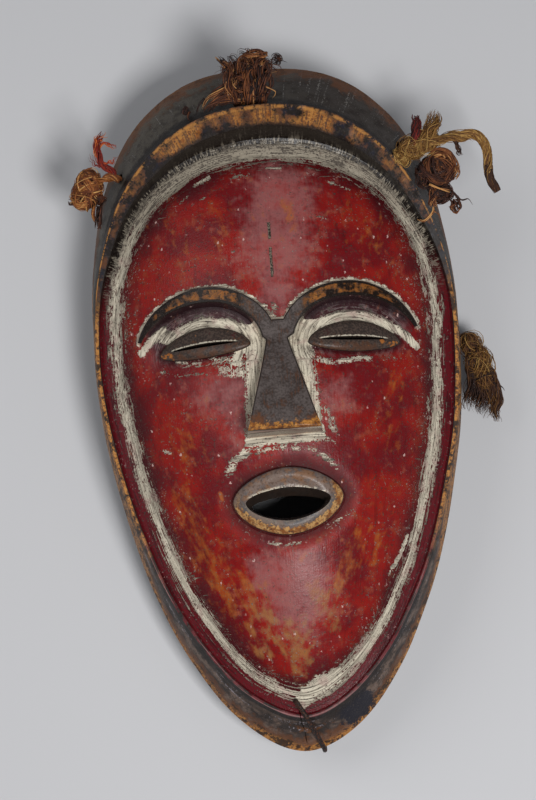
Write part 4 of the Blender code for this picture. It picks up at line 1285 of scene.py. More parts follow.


# %% [markdown]
# The red is rubbed camwood in oil. It is painted darker at the face's edge, round the lips, under
# the brows and round the lids, as painted shade; it is painted pink on the forehead and under the
# mouth as a painted highlight, and lets the orange wood through where it has worn thin.


# %% Red of the face
def red_layer(f, p):
    """Camwood red with painted shade at its edges and round the carving, a pink painted highlight and orange
    wear.
    """
    colour = f.blend(p.blotch.between(0.42, 0.60), RED_DEEP, RED_WARM)
    colour = colour.mixed(MAROON, (p.mottle - p.blotch * 0.5).between(0.20, 0.42) * 0.55)
    rusty = (p.mottle * 0.6 + p.ragged * 0.6 + p.blotch * 0.5).between(0.86, 1.04)
    colour = colour.mixed(ORANGE_RED, rusty * 0.75)
    colour = colour.mixed(RED_DARK, (p.ragged * 0.6 + p.fine * 0.6).between(0.62, 0.80) * 0.50)
    colour = colour.mixed(RED_DARK, p.streaks.between(0.54, 0.72) * 0.34)
    # Painted shade: darker red near the face's edge, where the dome turns away, and in the hollow round the
    # lips.
    rim = 1 - (p.zone + p.blotch * 1.2).between(7.5, 8.9)
    round_lips = 1 - (0 - p.lip).between(0.5, 9.0)
    colour = colour.mixed(RED_DARK, rim.highest(round_lips) * 0.78)
    # Painted shade under the brows; the socket is darker where it is deeper, partly its own streaky paint and
    # partly painted shade.
    brow_shade = p.under * (1 - (0 - p.brow).between(1.2, 4.5)) * p.socket.between(0.1, 0.5)
    streaky = p.stir(lines=0.5, ragged=0.4).between(-0.2, 0.4)
    colour = colour.mixed(f.blend(streaky, SOCKET_DARK, SOCKET_GREY), p.socket.between(0.15, 0.75) * 0.9)
    colour = colour.mixed(SOCKET_DARK, brow_shade)
    # Painted shade: a dark ring in the crease round the raised lids.
    lid_shade = 1 - (0 - p.lid).between(0.4, 3.0)
    colour = colour.mixed(RED_DARK, lid_shade * 0.8)
    # Painted highlight: a patchy pink glow on the forehead, under the mouth and beside the nose.
    sheen = p.sheen + p.stir(mottle=0.34, ragged=0.26, upright=0.14)
    colour = colour.mixed(PAINTED_SHEEN, sheen.between(0.06, 1.16) * 0.71)
    wear = p.wear - 0.05 + p.stir(streaks=0.10, slants=0.58, mottle=0.22, ragged=0.26, fine=0.14)
    central = (1 - p.x_size.between(16.0, 36.0)) * (1 - p.y.between(-150.0, -122.0))
    colour = colour.mixed(f.blend(central, ORANGE, OLIVE_WEAR), wear.between(0.24, 1.02) * 0.53)
    return colour.mixed(OCHRE, wear.between(0.74, 1.24) * 0.26)


def flecks(f, p):
    """Splashes of clay over the red: small crumbs in clusters and a few larger ones."""
    near_clay = (1 - (p.zone - 7.3).between(0.0, 1.2)) + p.clay * 1.5
    small = (p.fine + near_clay * 0.035).between(0.645, 0.69)
    small = small * (p.mottle * 0.5 + p.blotch * 0.5).between(0.50, 0.57)
    spots = f.specks(0.0065, stretch=(1.0, 1.4, 1.0)) + p.stir(fine=0.09)
    large = (1 - spots.between(0.055, 0.090)) * p.mottle.between(0.40, 0.52)
    return small.highest(large)


# %% [markdown]
# Kaolin is brushed on wet, so it shows the lines of the brush along the channel and round the eyes,
# and breaks into crumbs at its edges. Under the forehead's arch it has gone grey with soot.


# %% White clay
def clay_cover(p):
    """Where clay lies: the channel, the sockets and single strokes, all with crumbling edges."""
    arch = p.crown.between(0.25, 0.8)
    outer = (p.zone - 4.80 + arch * 0.60 - p.chin * 0.10) * 0.58
    inner = (7.28 + p.chin * 0.10 - p.zone) * 0.70
    crumbling = p.stir(blotch=0.12, sweeps=0.30, lines=0.46, fine=0.22, ragged=0.14)
    channel = outer.lowest(inner) - 0.30 + crumbling
    strokes = p.clay * 1.7 - 0.90 + p.crumb * 0.8
    beyond_brow = 0 - p.brow + p.stir(ragged=1.1, fine=0.9, mottle=0.5)
    line_above = (1 - p.under) * (1 - beyond_brow.between(1.2, 2.2)) * p.y.between(-22.0, -14.0)
    cover = channel.highest(strokes).between(-0.03, 0.16).highest(line_above)
    step = p.brow.between(-0.35, 0.0).highest((p.brow + 0.2).between(-0.9, -0.6) * beneath_nose(p))
    return cover * (1 - step) * (1 - p.lid.between(-0.3, 0.0)) * (1 - p.lip.between(-0.3, 0.0))


def beneath_nose(p):
    """1 on the step that faces the chin below the nose."""
    base = 1000.0 * NOSE_BASE
    below_edge = 1 - p.y.between(base - 0.3, base + 0.2)
    return below_edge * (1 - p.x_size.between(19.0, 20.5)) * p.y.between(-64.0, -63.0)


def clay_colour(f, p):
    """Cream clay with grey brush lines, sooty under the arch and thin near the brows."""
    arch = p.crown.between(0.25, 0.8)
    soot = arch * (1 - (p.zone + p.stir(blotch=0.3)).between(5.6, 7.1))
    thin = p.socket.between(0.2, 0.7) * (1 - p.clay.between(0.5, 0.9))
    grey = soot.highest(thin)
    colour = f.blend(p.lines.between(0.44, 0.62), CLAY, CLAY_SHADE)
    colour = colour.mixed(CLAY_SOOTY, arch * (p.lines * 0.5 + p.sweeps * 0.5).between(0.34, 0.58) * 0.85)
    colour = colour.mixed(CLAY_SHADE, (p.sweeps.between(0.46, 0.64) * 0.5).highest(grey * 0.85))
    colour = colour.mixed(CLAY_PINK, p.mottle.between(0.50, 0.66) * (1 - arch) * 0.35)
    gaps = p.stir(lines=0.60, fine=0.40) + grey * 0.34 + p.stir(ragged=0.16)
    return colour.mixed(CLAY_GAP, gaps.between(0.26, 0.66) * 0.85)


# %% [markdown]
# The forehead band is bare wood, gilded by wear along its middle and black in its grain and along
# its edges. Behind it the cap is sooted, with rust-brown wear along the outer arris, and the flange
# under the chin is leathery dark.


# %% Band, recess, cap and flange
def strip_colour(f, p):
    """The step under the arch, black with pale scratches, and maroon down the sides."""
    arch = p.crown.between(0.15, 0.50)
    colour = f.blend(arch, MAROON, SOOT)
    colour = colour.mixed(SOOT, p.fine.between(0.50, 0.66) * 0.5)
    colour = colour.mixed(RED_DARK, p.sweeps.between(0.50, 0.62) * (1 - arch) * 0.7)
    towards_clay = (p.zone - 3.2).between(0.0, 1.5)
    scratches = (p.stir(nicks=0.8) + towards_clay * 0.42 + p.stir(ragged=0.4)).between(0.30, 0.72)
    specks = p.stir(fine=0.7, ragged=0.4, lines=0.2).between(0.50, 0.66)
    colour = colour.mixed(CLAY_SHADE, scratches * arch * 0.85)
    return colour.mixed(CLAY_PINK, specks * (1 - arch) * 0.85)


def band_colour(f, p):
    """Worn gold wood between dark edges, with black and violet patches."""
    off_middle = (p.zone - 2.5).size() * 2.0
    worn = 0.40 - off_middle * off_middle * 0.34 + p.crown.between(0.80, 1.0) * 0.30
    worn = worn + p.stir(mottle=0.16, ragged=0.26, fine=0.20, nicks=0.14)
    worn = worn - p.black * 0.75 - (1 - p.crown.between(0.35, 0.85)) * 0.38
    wood = f.blend((p.ragged * 0.6 + p.fine * 0.5).between(0.46, 0.66), GOLD_WOOD, AMBER_WOOD)
    wood = wood.mixed(BROWN, (p.nicks * 0.7 + p.fine * 0.4).between(0.48, 0.62) * 0.85)
    dark = f.blend(p.ragged.between(0.45, 0.60), SOOT, BLACK_BLUE)
    dark = dark.mixed(RUST, p.mottle.between(0.52, 0.66) * 0.6)
    colour = f.blend(worn.between(0.12, 0.60), dark, wood)
    arris = 1 - (p.zone - 2.13).size().between(0.03, 0.12)
    return colour.mixed(GOLD_WOOD, arris * (p.mottle + p.fine * 0.5).between(0.66, 0.82) * 0.8)


def edge_wood(f, p):
    """Handled edge: amber wood with dark spots."""
    wood = f.blend((p.ragged * 0.5 + p.fine * 0.6).between(0.46, 0.66), GOLD_WOOD, AMBER_WOOD)
    wood = wood.mixed(BROWN, (p.fine * 0.6 + p.sweeps * 0.5).between(0.52, 0.68) * 0.7)
    return wood.mixed(SOOT, (p.mottle * 0.6 + p.ragged * 0.5 + p.fine * 0.2).between(0.63, 0.73) * 0.9)


def side_band_colour(f, p):
    """The thin ridge down the sides: dark maroon with a pale broken line."""
    lower = p.chin.between(0.72, 0.90)
    colour = f.blend(p.mottle.between(0.42, 0.58), MAROON, SOOT)
    ridge = 1 - (p.zone - 2.35).size().between(0.10, 0.45)
    colour = colour.mixed(CLAY_PINK, ridge * p.sweeps.between(0.42, 0.56) * 0.55)
    return f.blend(lower, edge_wood(f, p), colour)


def cap_colour(f, p):
    """Sooted wood, lighter at the left, with specks, strokes, a worn outer arris, and painted highlights on
    the flange.
    """
    rightwards = (p.x + p.stir(blotch=30)).between(-30.0, 30.0)
    colour = f.blend(rightwards, CAP_LIGHT, CAP_DARK)
    colour = colour.mixed(BLACK_BROWN, (p.mottle * 0.6 + p.ragged * 0.5).between(0.52, 0.68) * 0.6)
    colour = colour.mixed(SOOT, (p.fine * 0.6 + p.nicks * 0.5).between(0.56, 0.70) * 0.6)
    specks = (p.nicks * 0.6 + p.fine * 0.5 + p.ragged * 0.2).between(0.74, 0.86)
    colour = colour.mixed(CAP_STROKE, specks * 0.6)
    flange = f.blend((p.mottle * 0.6 + p.sweeps * 0.5).between(0.44, 0.62), FLANGE, SLATE_DARK)
    flange = flange.mixed(AMBER_WOOD, p.stir(sweeps=0.5, ragged=0.5).between(0.25, 0.7) * 0.55)
    flange = flange.mixed(BLACK_BROWN, (p.fine * 0.6 + p.ragged * 0.5).between(0.52, 0.68) * 0.7)
    # Painted highlight: pale specks where the lamp catches the flange's ridge.
    painted_glints = (p.stir(fine=0.5, lines=0.4) + p.zone.between(0.5, 0.9) * 0.30).between(0.52, 0.70)
    flange = flange.mixed(PAINTED_GLINT, painted_glints * 0.7)
    colour = colour.mixed(flange, p.chin.between(0.05, 0.30))
    strokes = (p.stir(nicks=0.5, fine=0.5) + rightwards * 0.22).between(0.52, 0.78)
    strokes = strokes * p.blotch.between(0.36, 0.52) * p.crown.between(0.1, 0.4)
    colour = colour.mixed(CAP_STROKE, strokes * 0.75)
    side = (1 - p.crown.between(0.05, 0.50)) * (1 - p.chin.between(0.10, 0.55))
    edge = 0.14 + side * 0.55 + p.chin.between(0.10, 0.60) * 0.22 - p.zone + p.stir(mottle=0.16)
    edge = edge + (1 - p.crown.between(0.0, 0.3)) * (1 - p.chin.between(0.72, 0.90)) * 0.9
    colour = colour.mixed(RUST, (edge + 0.12 + p.stir(ragged=0.10)).between(-0.06, 0.16) * 0.70)
    wood = edge_wood(f, p)
    worn = edge - 0.03 + p.stir(ragged=0.11, fine=0.09)
    colour = colour.mixed(wood, worn.between(0.03, 0.14) * (p.crown.between(0.2, 0.5) * (-0.45) + 0.9))
    spotted = p.stir(mottle=0.6, ragged=0.5).between(0.20, 0.50)
    colour = colour.mixed(SOOT, side * spotted * 0.8)
    black = (p.black + p.stir(ragged=0.35, fine=0.25)).between(0.30, 0.60)
    colour = colour.mixed(BLACK_BLUE, black * p.chin.between(0.3, 0.6))
    # Painted shade: the floor of the groove behind the band is painted black at the top, wider at the left.
    groove = p.zone + p.stir(fine=0.03, ragged=0.04) + (1 - rightwards) * 0.07
    return colour.mixed(SOOT, groove.between(0.80, 0.92) * p.crown.between(-0.2, 0.2))


# %% [markdown]
# Brows, nose, lids and lips were blackened. Fingers have rubbed the outer brows, the lower edge of
# the nose, and the lower lip back to orange wood.


# %% Brows, nose, lids and lips
NOSE_RUB = 2.0
NOSE_CORNER_RUB = 4.4


def brow_nose_colour(f, p):
    """Slate black with brown grain; bare wood along the brows and the nose's lower edge."""
    above_base = p.y - 1000.0 * NOSE_BASE
    over_bridge = p.y.between(-9.0, -3.0)
    slate = f.blend((p.fine * 0.5 + p.mottle * 0.5).between(0.36, 0.66), SLATE, SLATE_DARK)
    slate = slate.mixed(BROWN, p.stir(upright=0.55, mottle=0.55).between(0.10, 0.70) * 0.75)
    outwards = (p.x_size + p.stir(mottle=2.0)).between(10.0, 19.0)
    colour = slate.mixed(BLACK_BROWN, outwards * over_bridge)
    colour = colour.mixed(SOOT, 1 - (p.brow + p.stir(fine=0.2)).between(0.15, 0.85))
    inside = p.brow.between(0.7, 1.5) * (1 - over_bridge * p.x_size.between(60.0, 68.0))
    rub = inside * 0.40 + p.stir(ragged=0.30, mottle=0.34, fine=0.22) - 0.11
    wood = f.blend(p.fine.between(0.40, 0.60), OCHRE, BROWN)
    wood = wood.mixed(AMBER_WOOD, p.ragged.between(0.46, 0.60) * 0.7)
    colour = colour.mixed(wood, rub.between(0.08, 0.50) * inside * outwards * over_bridge)
    corner = p.x * p.x * (NOSE_CORNER_RUB / (1000.0 * NOSE_BASE_HALF) ** 2)
    above_rub = above_base - NOSE_RUB - corner + p.stir(ragged=2.0, mottle=1.6, fine=1.2)
    on_nose = 1 - p.x_size.between(20.0, 21.0)
    tip = f.blend(p.ragged.between(0.40, 0.60), GOLD_WOOD, AMBER_WOOD)
    tip = tip.mixed(BROWN, (p.fine * 0.8 + p.ragged * 0.3).between(0.50, 0.66) * 0.8)
    stain = (1 - above_base.between(4.0, 24.0)) * 0.5 + p.stir(mottle=0.40, ragged=0.25)
    colour = colour.mixed(RUST, stain.between(0.40, 0.86) * on_nose * 0.7)
    colour = colour.mixed(tip, (1 - above_rub.between(-0.8, 1.2)) * on_nose)
    colour = colour.mixed(SOOT, 1 - above_base.between(0.10, 0.45))
    return colour.mixed(UNDERSIDE, beneath_nose(p))


def lid_colour(f, p):
    """Dark lids with a pale upper edge to the slit and rubbed outer corners."""
    colour = f.blend(p.fine.between(0.35, 0.65), LID, SLATE_DARK)
    colour = colour.mixed(BROWN, (p.ragged.centred() - p.slit_rise * 0.12).between(0.0, 0.8) * 0.7)
    colour = colour.mixed(MAROON, p.stir(mottle=0.8, fine=0.5).between(0.3, 0.8) * 0.45)
    outer = p.x_size.between(48.0, 60.0) * (1 - p.slit_rise.between(-1.5, 0.3))
    rub = (outer * 0.62 + p.stir(ragged=0.5, mottle=0.2)).between(0.38, 0.62)
    colour = colour.mixed(f.blend(p.fine, GOLD_WOOD, ORANGE), rub * 0.85)
    colour = colour.mixed(SOOT, 1 - (p.lid + p.stir(fine=0.15)).between(0.05, 0.45))
    pale = (1 - (p.slit + p.stir(fine=0.25)).between(0.45, 1.05)) * p.slit_rise.between(0.0, 0.5)
    return colour.mixed(CLAY, pale * p.lines.between(0.30, 0.50) * 0.85)


def lip_colour(f, p):
    """Grey lips, with painted highlights at the mouth's edge; the lower one and the corners are rubbed to
    pale wood at their outer edge.
    """
    colour = f.blend(p.mottle.between(0.40, 0.60), LIP_GREY, LIP_SLATE)
    colour = colour.mixed(BROWN, p.fine.between(0.46, 0.68) * 0.55)
    below = p.y - 1000.0 * LIP_CENTRE[1]
    side = (p.x - 1000.0 * LIP_CENTRE[0]) * (1.0 / (1000.0 * LIP_HALF))
    corner = side.size().between(0.70, 0.92)
    lower = 1 - below.between(-3.5, 1.0)
    edge = 1 - (p.lip + p.stir(ragged=1.2, fine=0.8)).between(2.2, 4.2)
    rub = lower.highest(corner * 0.8) * edge + p.stir(mottle=0.22) + corner * side * 0.35
    wood = f.blend(p.ragged.between(0.40, 0.60), LIP_PALE, AMBER_WOOD)
    wood = wood.mixed(BROWN, (p.fine * 0.7 + p.upright * 0.4).between(0.54, 0.68) * 0.75)
    colour = colour.mixed(wood, rub.between(0.30, 0.70) * 0.9)
    tan = (1 - lower) * (p.stir(mottle=0.5, ragged=0.4) + 0.25).between(0.1, 0.6)
    colour = colour.mixed(OCHRE, tan * p.lip.between(0.4, 1.2) * 0.35)
    # Painted highlights: pale specks along the edges of the mouth opening.
    painted_lip_highlight = (1 - p.mouth.between(0.4, 1.4)) * (p.fine + p.mottle * 0.4).between(0.62, 0.78)
    colour = colour.mixed(CLAY, painted_lip_highlight * below.between(0.5, 2.0) * 0.75)
    painted_mouth_highlight = (1 - p.mouth.between(0.6, 3.0)) * p.fine.between(0.50, 0.62)
    painted_mouth_highlight = painted_mouth_highlight * (1 - below.between(-2.0, 0.5))
    colour = colour.mixed(CLAY_SHADE, painted_mouth_highlight * 0.7)
    return colour.mixed(SOOT, 1 - (p.lip + p.stir(fine=0.15)).between(0.02, 0.35))


# %% [markdown]
# The layers are stacked in the order in which the maker put them on, each through its own mask.


# %% Stack the layers
def painted_front():
    """Red face, clay bands, sooted carving, worn band and dark cap."""
    f = Finish("painted_front", 0.28)
    p = shared_noises(f)
    colour = red_layer(f, p).mixed(FLECK, flecks(f, p) * 0.85)
    strip = 1 - (p.zone + p.stir(ragged=0.22)).between(5.0, 5.9)
    colour = colour.mixed(strip_colour(f, p), strip)
    clay = clay_cover(p)
    colour = colour.mixed(clay_colour(f, p), clay)
    band = 1 - (p.zone + p.stir(ragged=0.08)).between(2.97, 3.08)
    arched = p.crown.between(0.08, 0.35)
    colour = colour.mixed(f.blend(arched, side_band_colour(f, p), band_colour(f, p)), band)
    foot = (p.zone + p.stir(ragged=0.15)).between(2.82, 2.96) * (1 - p.zone.between(3.6, 4.2))
    colour = colour.mixed(SOOT, foot * arched * 0.85)
    gilt = (1 - p.crown.between(0.0, 0.25)) * (1 - p.chin.between(0.72, 0.90))
    # Painted shade: at the top the groove behind the band is painted black; down the sides it is worn wood.
    groove = 1 - (p.zone + p.stir(ragged=0.08)).between(1.94, 2.06)
    colour = colour.mixed(f.blend(gilt, SOOT, edge_wood(f, p)), groove)
    colour = colour.mixed(SOOT, (1 - (p.zone - 3.05).size().between(0.10, 0.30)) * gilt)
    cap = 1 - p.zone.between(0.98, 1.0)
    colour = colour.mixed(cap_colour(f, p), cap)
    carved = p.brow.between(-0.30, 0.0).highest((p.brow + 0.2).between(-0.9, -0.6) * beneath_nose(p))
    colour = colour.mixed(brow_nose_colour(f, p), carved)
    colour = colour.mixed(lid_colour(f, p), p.lid.between(-0.25, 0.0))
    colour = colour.mixed(lip_colour(f, p), p.lip.between(-0.25, 0.0))
    scar = (p.scar + p.stir(fine=0.3)).between(0.05, 0.4)
    colour = colour.mixed(f.blend(p.fine.between(0.42, 0.58), CLAY_SHADE, CLAY_GAP), scar)
    height = clay * 0.5 + p.upright * 0.22 + p.mottle * 0.30 + p.lines * (clay * 0.45) + p.fine * 0.30
    round_lips = (1 - (0 - p.lip).between(2.0, 11.0)) * (1 - p.lip.between(-0.25, 0.0))
    roughness = 0.38 + clay * 0.42 + round_lips * 0.30
    roughness = roughness + (1 - p.zone.between(2.9, 3.1)) * 0.16 + p.stir(mottle=0.08)
    return f.finish(colour, roughness, f.bump(height, 0.0006, 0.75))


# %% Wall and hollow
def wall_wood():
    """Dark, handled wood on the outer wall and in the tunnels."""
    f = Finish("wall_wood")
    lines = f.grain(0.0016, 5.0, stretch=(1.0, 1.0, 6.0))
    patches = f.grain(0.016, 4.0, shift=6.0)
    colour = f.blend(lines, SOOT, WOOD_DARK)
    colour = colour.mixed(CAP_DARK, patches.between(0.5, 0.65) * 0.8)
    colour = colour.mixed(ORANGE, (patches + (lines - 0.5) * 0.5).between(0.68, 0.8) * 0.6)
    return f.finish(colour, 0.55 + lines * 0.2, f.bump(lines, 0.0007, 0.8))


def hollow_wood():
    """Raw brown wood with gouge marks, darkened by wear."""
    f = Finish("hollow_wood")
    lines = f.grain(0.0018, 5.0, stretch=(1.0, 8.0, 1.0))
    patches = f.grain(0.020, 4.0, shift=8.0)
    colour = f.blend(lines, WOOD_DARK, WOOD_RAW).mixed(SOOT, patches.between(0.45, 0.7) * 0.5)
    return f.finish(colour, 0.75, f.bump(lines, 0.0008, 0.8))


for material in (painted_front(), wall_wood(), hollow_wood()):
    mask.data.materials.append(material)
print("mask materials:", [material.name for material in mask.data.materials])

# %% [markdown]
# ## Raffia
# Raffia is split palm leaf: thin flat fibres that curl as they dry. A tuft could be a particle
# system, but those are lost when the model leaves Blender, so each fibre is a small tapering tube
# of its own. Fibres wind slowly along a bundle's guide line, or loop round a centre in an ellipsoid.


# %% Fibres in one mesh
def smooth_path(points, per_span):
    """A Catmull-Rom curve through points of any dimension."""
    points = [np.array(point, dtype=float) for point in points]
    padded = [2 * points[0] - points[1]] + points + [2 * points[-1] - points[-2]]
    result = []
    for i in range(1, len(padded) - 2):
        a, b, c, d = padded[i - 1:i + 3]
        for step in range(per_span):
            t = step / per_span
            result.append(0.5 * (2 * b + (c - a) * t + (2 * a - 5 * b + 4 * c - d) * t ** 2
                                 + (3 * b - a - 3 * c + d) * t ** 3))
    result.append(points[-1])
    return np.array(result)


def directions(path):
    """Directions along a path and two across it, without twist."""
    ahead = np.gradient(path, axis=0)
    ahead /= np.maximum(np.linalg.norm(ahead, axis=1), 1e-9)[:, None]
    across = np.empty_like(path)
    side = np.cross(ahead[0], (0.31, 0.52, 0.79))
    for i, forward in enumerate(ahead):
        side = side - forward * (side @ forward)
        side = side / max(np.linalg.norm(side), 1e-9)
        across[i] = side
    return ahead, across, np.cross(ahead, across)


def rest_on_cap(path):
    """Lift what would lie inside the wood to just above its surface."""
    plan_radius = np.hypot(path[:, 0], path[:, 1])
    inside = plan_radius < egg_radius(OUTLINE, np.arctan2(path[:, 1], path[:, 0]))
    top = surface(path[:, :2], FRONT, FACE_HEIGHT)[0] + 0.0005
    path[:, 2] = np.where(inside, np.maximum(path[:, 2], top), path[:, 2])
    return path


def turned(angle, first, second):
    """The direction between two that an angle gives, for each step of a path."""
    return np.cos(angle)[:, None] * first + np.sin(angle)[:, None] * second


def grown(radii, share):
    """Radii times a share."""
    return tuple(share * radius for radius in radii)


class Fibres:
    """Many thin fibres in one mesh, each with a tone of its own."""

    def __init__(self, seed, name="top"):
        self.random = np.random.default_rng(seed)
        self.start = np.array(tie_line(name)[0])
        self.points, self.faces, self.tones, self.count = [], [], [], 0

    def add(self, path, radius, tone, sides=3, flat=0.45, taper=0.75):
        """Add one fibre along a path, thinner towards its end."""
        ahead, across, other = directions(path)
        sizes = radius * (1.0 - taper * np.linspace(0.0, 1.0, len(path)) ** 4)
        angles = np.arange(sides) * 2 * math.pi / sides + self.random.uniform(0, math.pi)
        spread = np.cos(angles)[None, :, None] * across[:, None, :]
        spread = spread + flat * np.sin(angles)[None, :, None] * other[:, None, :]
        self.points.append((path[:, None, :] + sizes[:, None, None] * spread).reshape(-1, 3))
        self.tones.append(np.full(len(path) * sides, min(max(tone, 0.0), 1.0)))
        first = self.count
        self.count += len(path) * sides
        for row in range(len(path) - 1):
            base = first + row * sides
            for side in range(sides):
                after = (side + 1) % sides
                self.faces.append((base + side, base + after, base + sides + after, base + sides + side))
        end = first + (len(path) - 1) * sides
        self.faces.append(tuple(first + side for side in reversed(range(sides))))
        self.faces.append(tuple(end + side for side in range(sides)))

    def places(self, guide):
        """Millimetres from the tie hole, as places on the mask in metres."""
        return [self.place(point) for point in guide]

    def place(self, point):
        """Millimetres from the tie hole, as a place on the mask in metres."""
        return self.start + 0.001 * np.array(point, dtype=float)

    def curls(self, share, amount):
        """Two sideways waves along a fibre, as numbers across and other-across."""
        first, second = self.random.uniform(0, 2 * math.pi, 2)
        cycles = 2 * math.pi * self.random.uniform(1.2, 3.2)
        across = amount * share * np.sin(cycles * share + first)
        return across, amount * share * np.sin(1.3 * cycles * share + second)

    def lock(self, guide, radius, count, tone, turns=0.6, fray=0.5, thickness=0.00040, trim=0.22, curl=0.0):
        """A bundle of fibres along a guide, slowly wound, frayed at its end and curly if asked."""
        spine = smooth_path(guide, 8 if curl else 4)
        _, across, other = directions(spine)
        share = np.linspace(0.0, 1.0, len(spine))
        if curl:
            sideways, forwards = self.curls(share, curl)
            spine = spine + sideways[:, None] * across + forwards[:, None] * other
        for _ in range(count):
            low = self.random.uniform(0.0, 0.10)
            high = 1.0 - self.random.uniform(0.0, trim)
            cycles = self.random.uniform(0.5, 1.6)
            wobble = 0.5 * np.sin(2 * math.pi * share * cycles + self.random.uniform(0, 6))
            angle = self.random.uniform(0, 2 * math.pi) + 2 * math.pi * turns * share + wobble
            reach = radius * math.sqrt(self.random.uniform()) * (1.0 + fray * share ** 2)
            path = spine + reach[:, None] * turned(angle, across, other)
            path = path + self.random.normal(size=3) * radius * 0.2 * np.sin(math.pi * share)[:, None]
            if curl:
                sideways, forwards = self.curls(share, 0.6 * curl)
                path = path + sideways[:, None] * across + forwards[:, None] * other
            kept = path[(share >= low) & (share <= high)]
            own_tone = tone + self.random.uniform(-0.28, 0.28)
            self.add(rest_on_cap(kept), thickness * self.random.uniform(0.7, 1.35), own_tone)

    def locks(self, rows, *finish):
        """Several bundles: each row has its guide in millimetres, its radius, its count and its tone."""
        for guide, radius, count, tone in rows:
            self.lock(self.places(guide), radius, count, tone, *finish)

    def rope(self, guide, radius, plies, turns, count, tone):
        """Plies wound round each other, each a bundle of fibres."""
        spine = smooth_path(guide, 5)
        _, across, other = directions(spine)
        share = np.linspace(0.0, 1.0, len(spine))
        for ply in range(plies):
            angle = 2 * math.pi * (turns * share + ply / plies)
            path = spine + 0.5 * radius * turned(angle, across, other)
            self.lock(path, radius * 0.5, count, tone, turns * 0.5, 0.2)

    def coil(self, centre, radii, count, tone, strands=4, thickness=0.00042, spread=0.00045, inner=0.35):
        """Loops wound about a centre (in metres), inside an ellipsoid."""
        for _ in range(count):
            frame_of_loop = np.linalg.qr(self.random.normal(size=(3, 3)))[0]
            size = self.random.uniform(inner, 0.95)
            turn = self.random.uniform(0, 6.28) + np.linspace(0.0, self.random.uniform(3.0, 7.0), 15)
            lean = self.random.uniform(-0.45, 0.45)
            loop = size * turned(turn, frame_of_loop[0], frame_of_loop[1])
            loop = loop + (lean + 0.15 * np.sin(turn * 1.7))[:, None] * frame_of_loop[2]
            loop_tone = tone + self.random.uniform(-0.25, 0.25)
            for _ in range(strands):
                path = centre + np.array(radii) * loop + self.random.normal(size=3) * spread
                own_tone = loop_tone + self.random.uniform(-0.2, 0.2)
                self.add(rest_on_cap(path), thickness * self.random.uniform(0.7, 1.3), own_tone)

    def to_object(self, name, material, node=None):
        """Make the mesh object, set it on the mask and let it stand for its solid."""
        mesh = bpy.data.meshes.new(name)
        mesh.from_pydata(np.vstack(self.points).tolist(), [], self.faces)
        mesh.shade_smooth()
        add_attribute(mesh, "tone", np.concatenate(self.tones))
        mesh.materials.append(material)
        item = bpy.data.objects.new(name, mesh)
        bpy.context.scene.collection.objects.link(item)
        item.location = ORIGIN
        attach(item, "root")
        if node:
            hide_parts(node)
        print(name, "triangles", sum(len(face) - 2 for face in self.faces))
        return item


# %% Raffia colours
def raffia(name, stops):
    """Dry fibre whose colour follows each fibre's tone."""
    f = Finish(name)
    fine = f.grain(0.0011, 3.0)
    tone = f.point_value("tone") + (fine - 0.5) * 0.45
    colour = f.node("ShaderNodeValToRGB", {"stops": stops}, {0: tone})
    return f.finish(colour, 0.72, f.bump(fine, 0.0003, 0.6))


RAFFIA_BROWN = raffia("raffia_brown", ((0.0, srgb(26, 12, 9)), (0.40, srgb(72, 34, 18)),
                                       (0.75, srgb(134, 76, 36)), (1.0, srgb(206, 152, 92))))
RAFFIA_GOLD = raffia("raffia_gold", ((0.0, srgb(40, 18, 9)), (0.35, srgb(104, 50, 20)),
                                     (0.7, srgb(164, 98, 42)), (1.0, srgb(222, 172, 104))))
RAFFIA_OLIVE = raffia("raffia_olive", ((0.0, srgb(36, 16, 12)), (0.35, srgb(90, 52, 24)),
                                       (0.7, srgb(142, 100, 44)), (1.0, srgb(196, 156, 88))))
RAFFIA_RED = raffia("raffia_red", ((0.0, srgb(40, 8, 8)), (0.4, srgb(120, 24, 14)),
                                   (0.75, srgb(178, 58, 22)), (1.0, srgb(216, 116, 50))))

# %% [markdown]
# ## The ties behind the wall
# Each tuft ends in a knot inside the hollow, so that it can't pull out. The knots are wound balls
# of the same fibre.


# %% The tie and its knot
KNOT_CLEAR = 0.0029
STEM_PROUD = 0.003
FIBRES_IN_STEM = 26
LOOPS_IN_KNOT = 70


def add_tie(fibres, name):
    """The stem through the hole and the wound knot behind it."""
    start, inwards, depth = tie_line(name)
    knot = start + inwards * (depth + TIE_KNOT_RADIUS + KNOT_CLEAR)
    stem_start = start - inwards * STEM_PROUD
    for _ in range(FIBRES_IN_STEM):
        sideways = Vector(fibres.random.normal(size=3)) * 0.0008
        route = [stem_start + sideways, start + inwards * depth * 0.5 + sideways, knot + sideways]
        fibres.add(smooth_path(route, 5), 0.00045, fibres.random.uniform(0.1, 0.7))
    for _ in range(LOOPS_IN_KNOT):
        loop = np.linalg.qr(fibres.random.normal(size=(3, 3)))[0]
        turn = fibres.random.uniform(0, 6.28) + np.linspace(0.0, 5.0, 11)
        path = np.array(knot) + 0.85 * TIE_KNOT_RADIUS * turned(turn, loop[0], loop[1])
        fibres.add(path, 0.00045, fibres.random.uniform(0.0, 0.8))


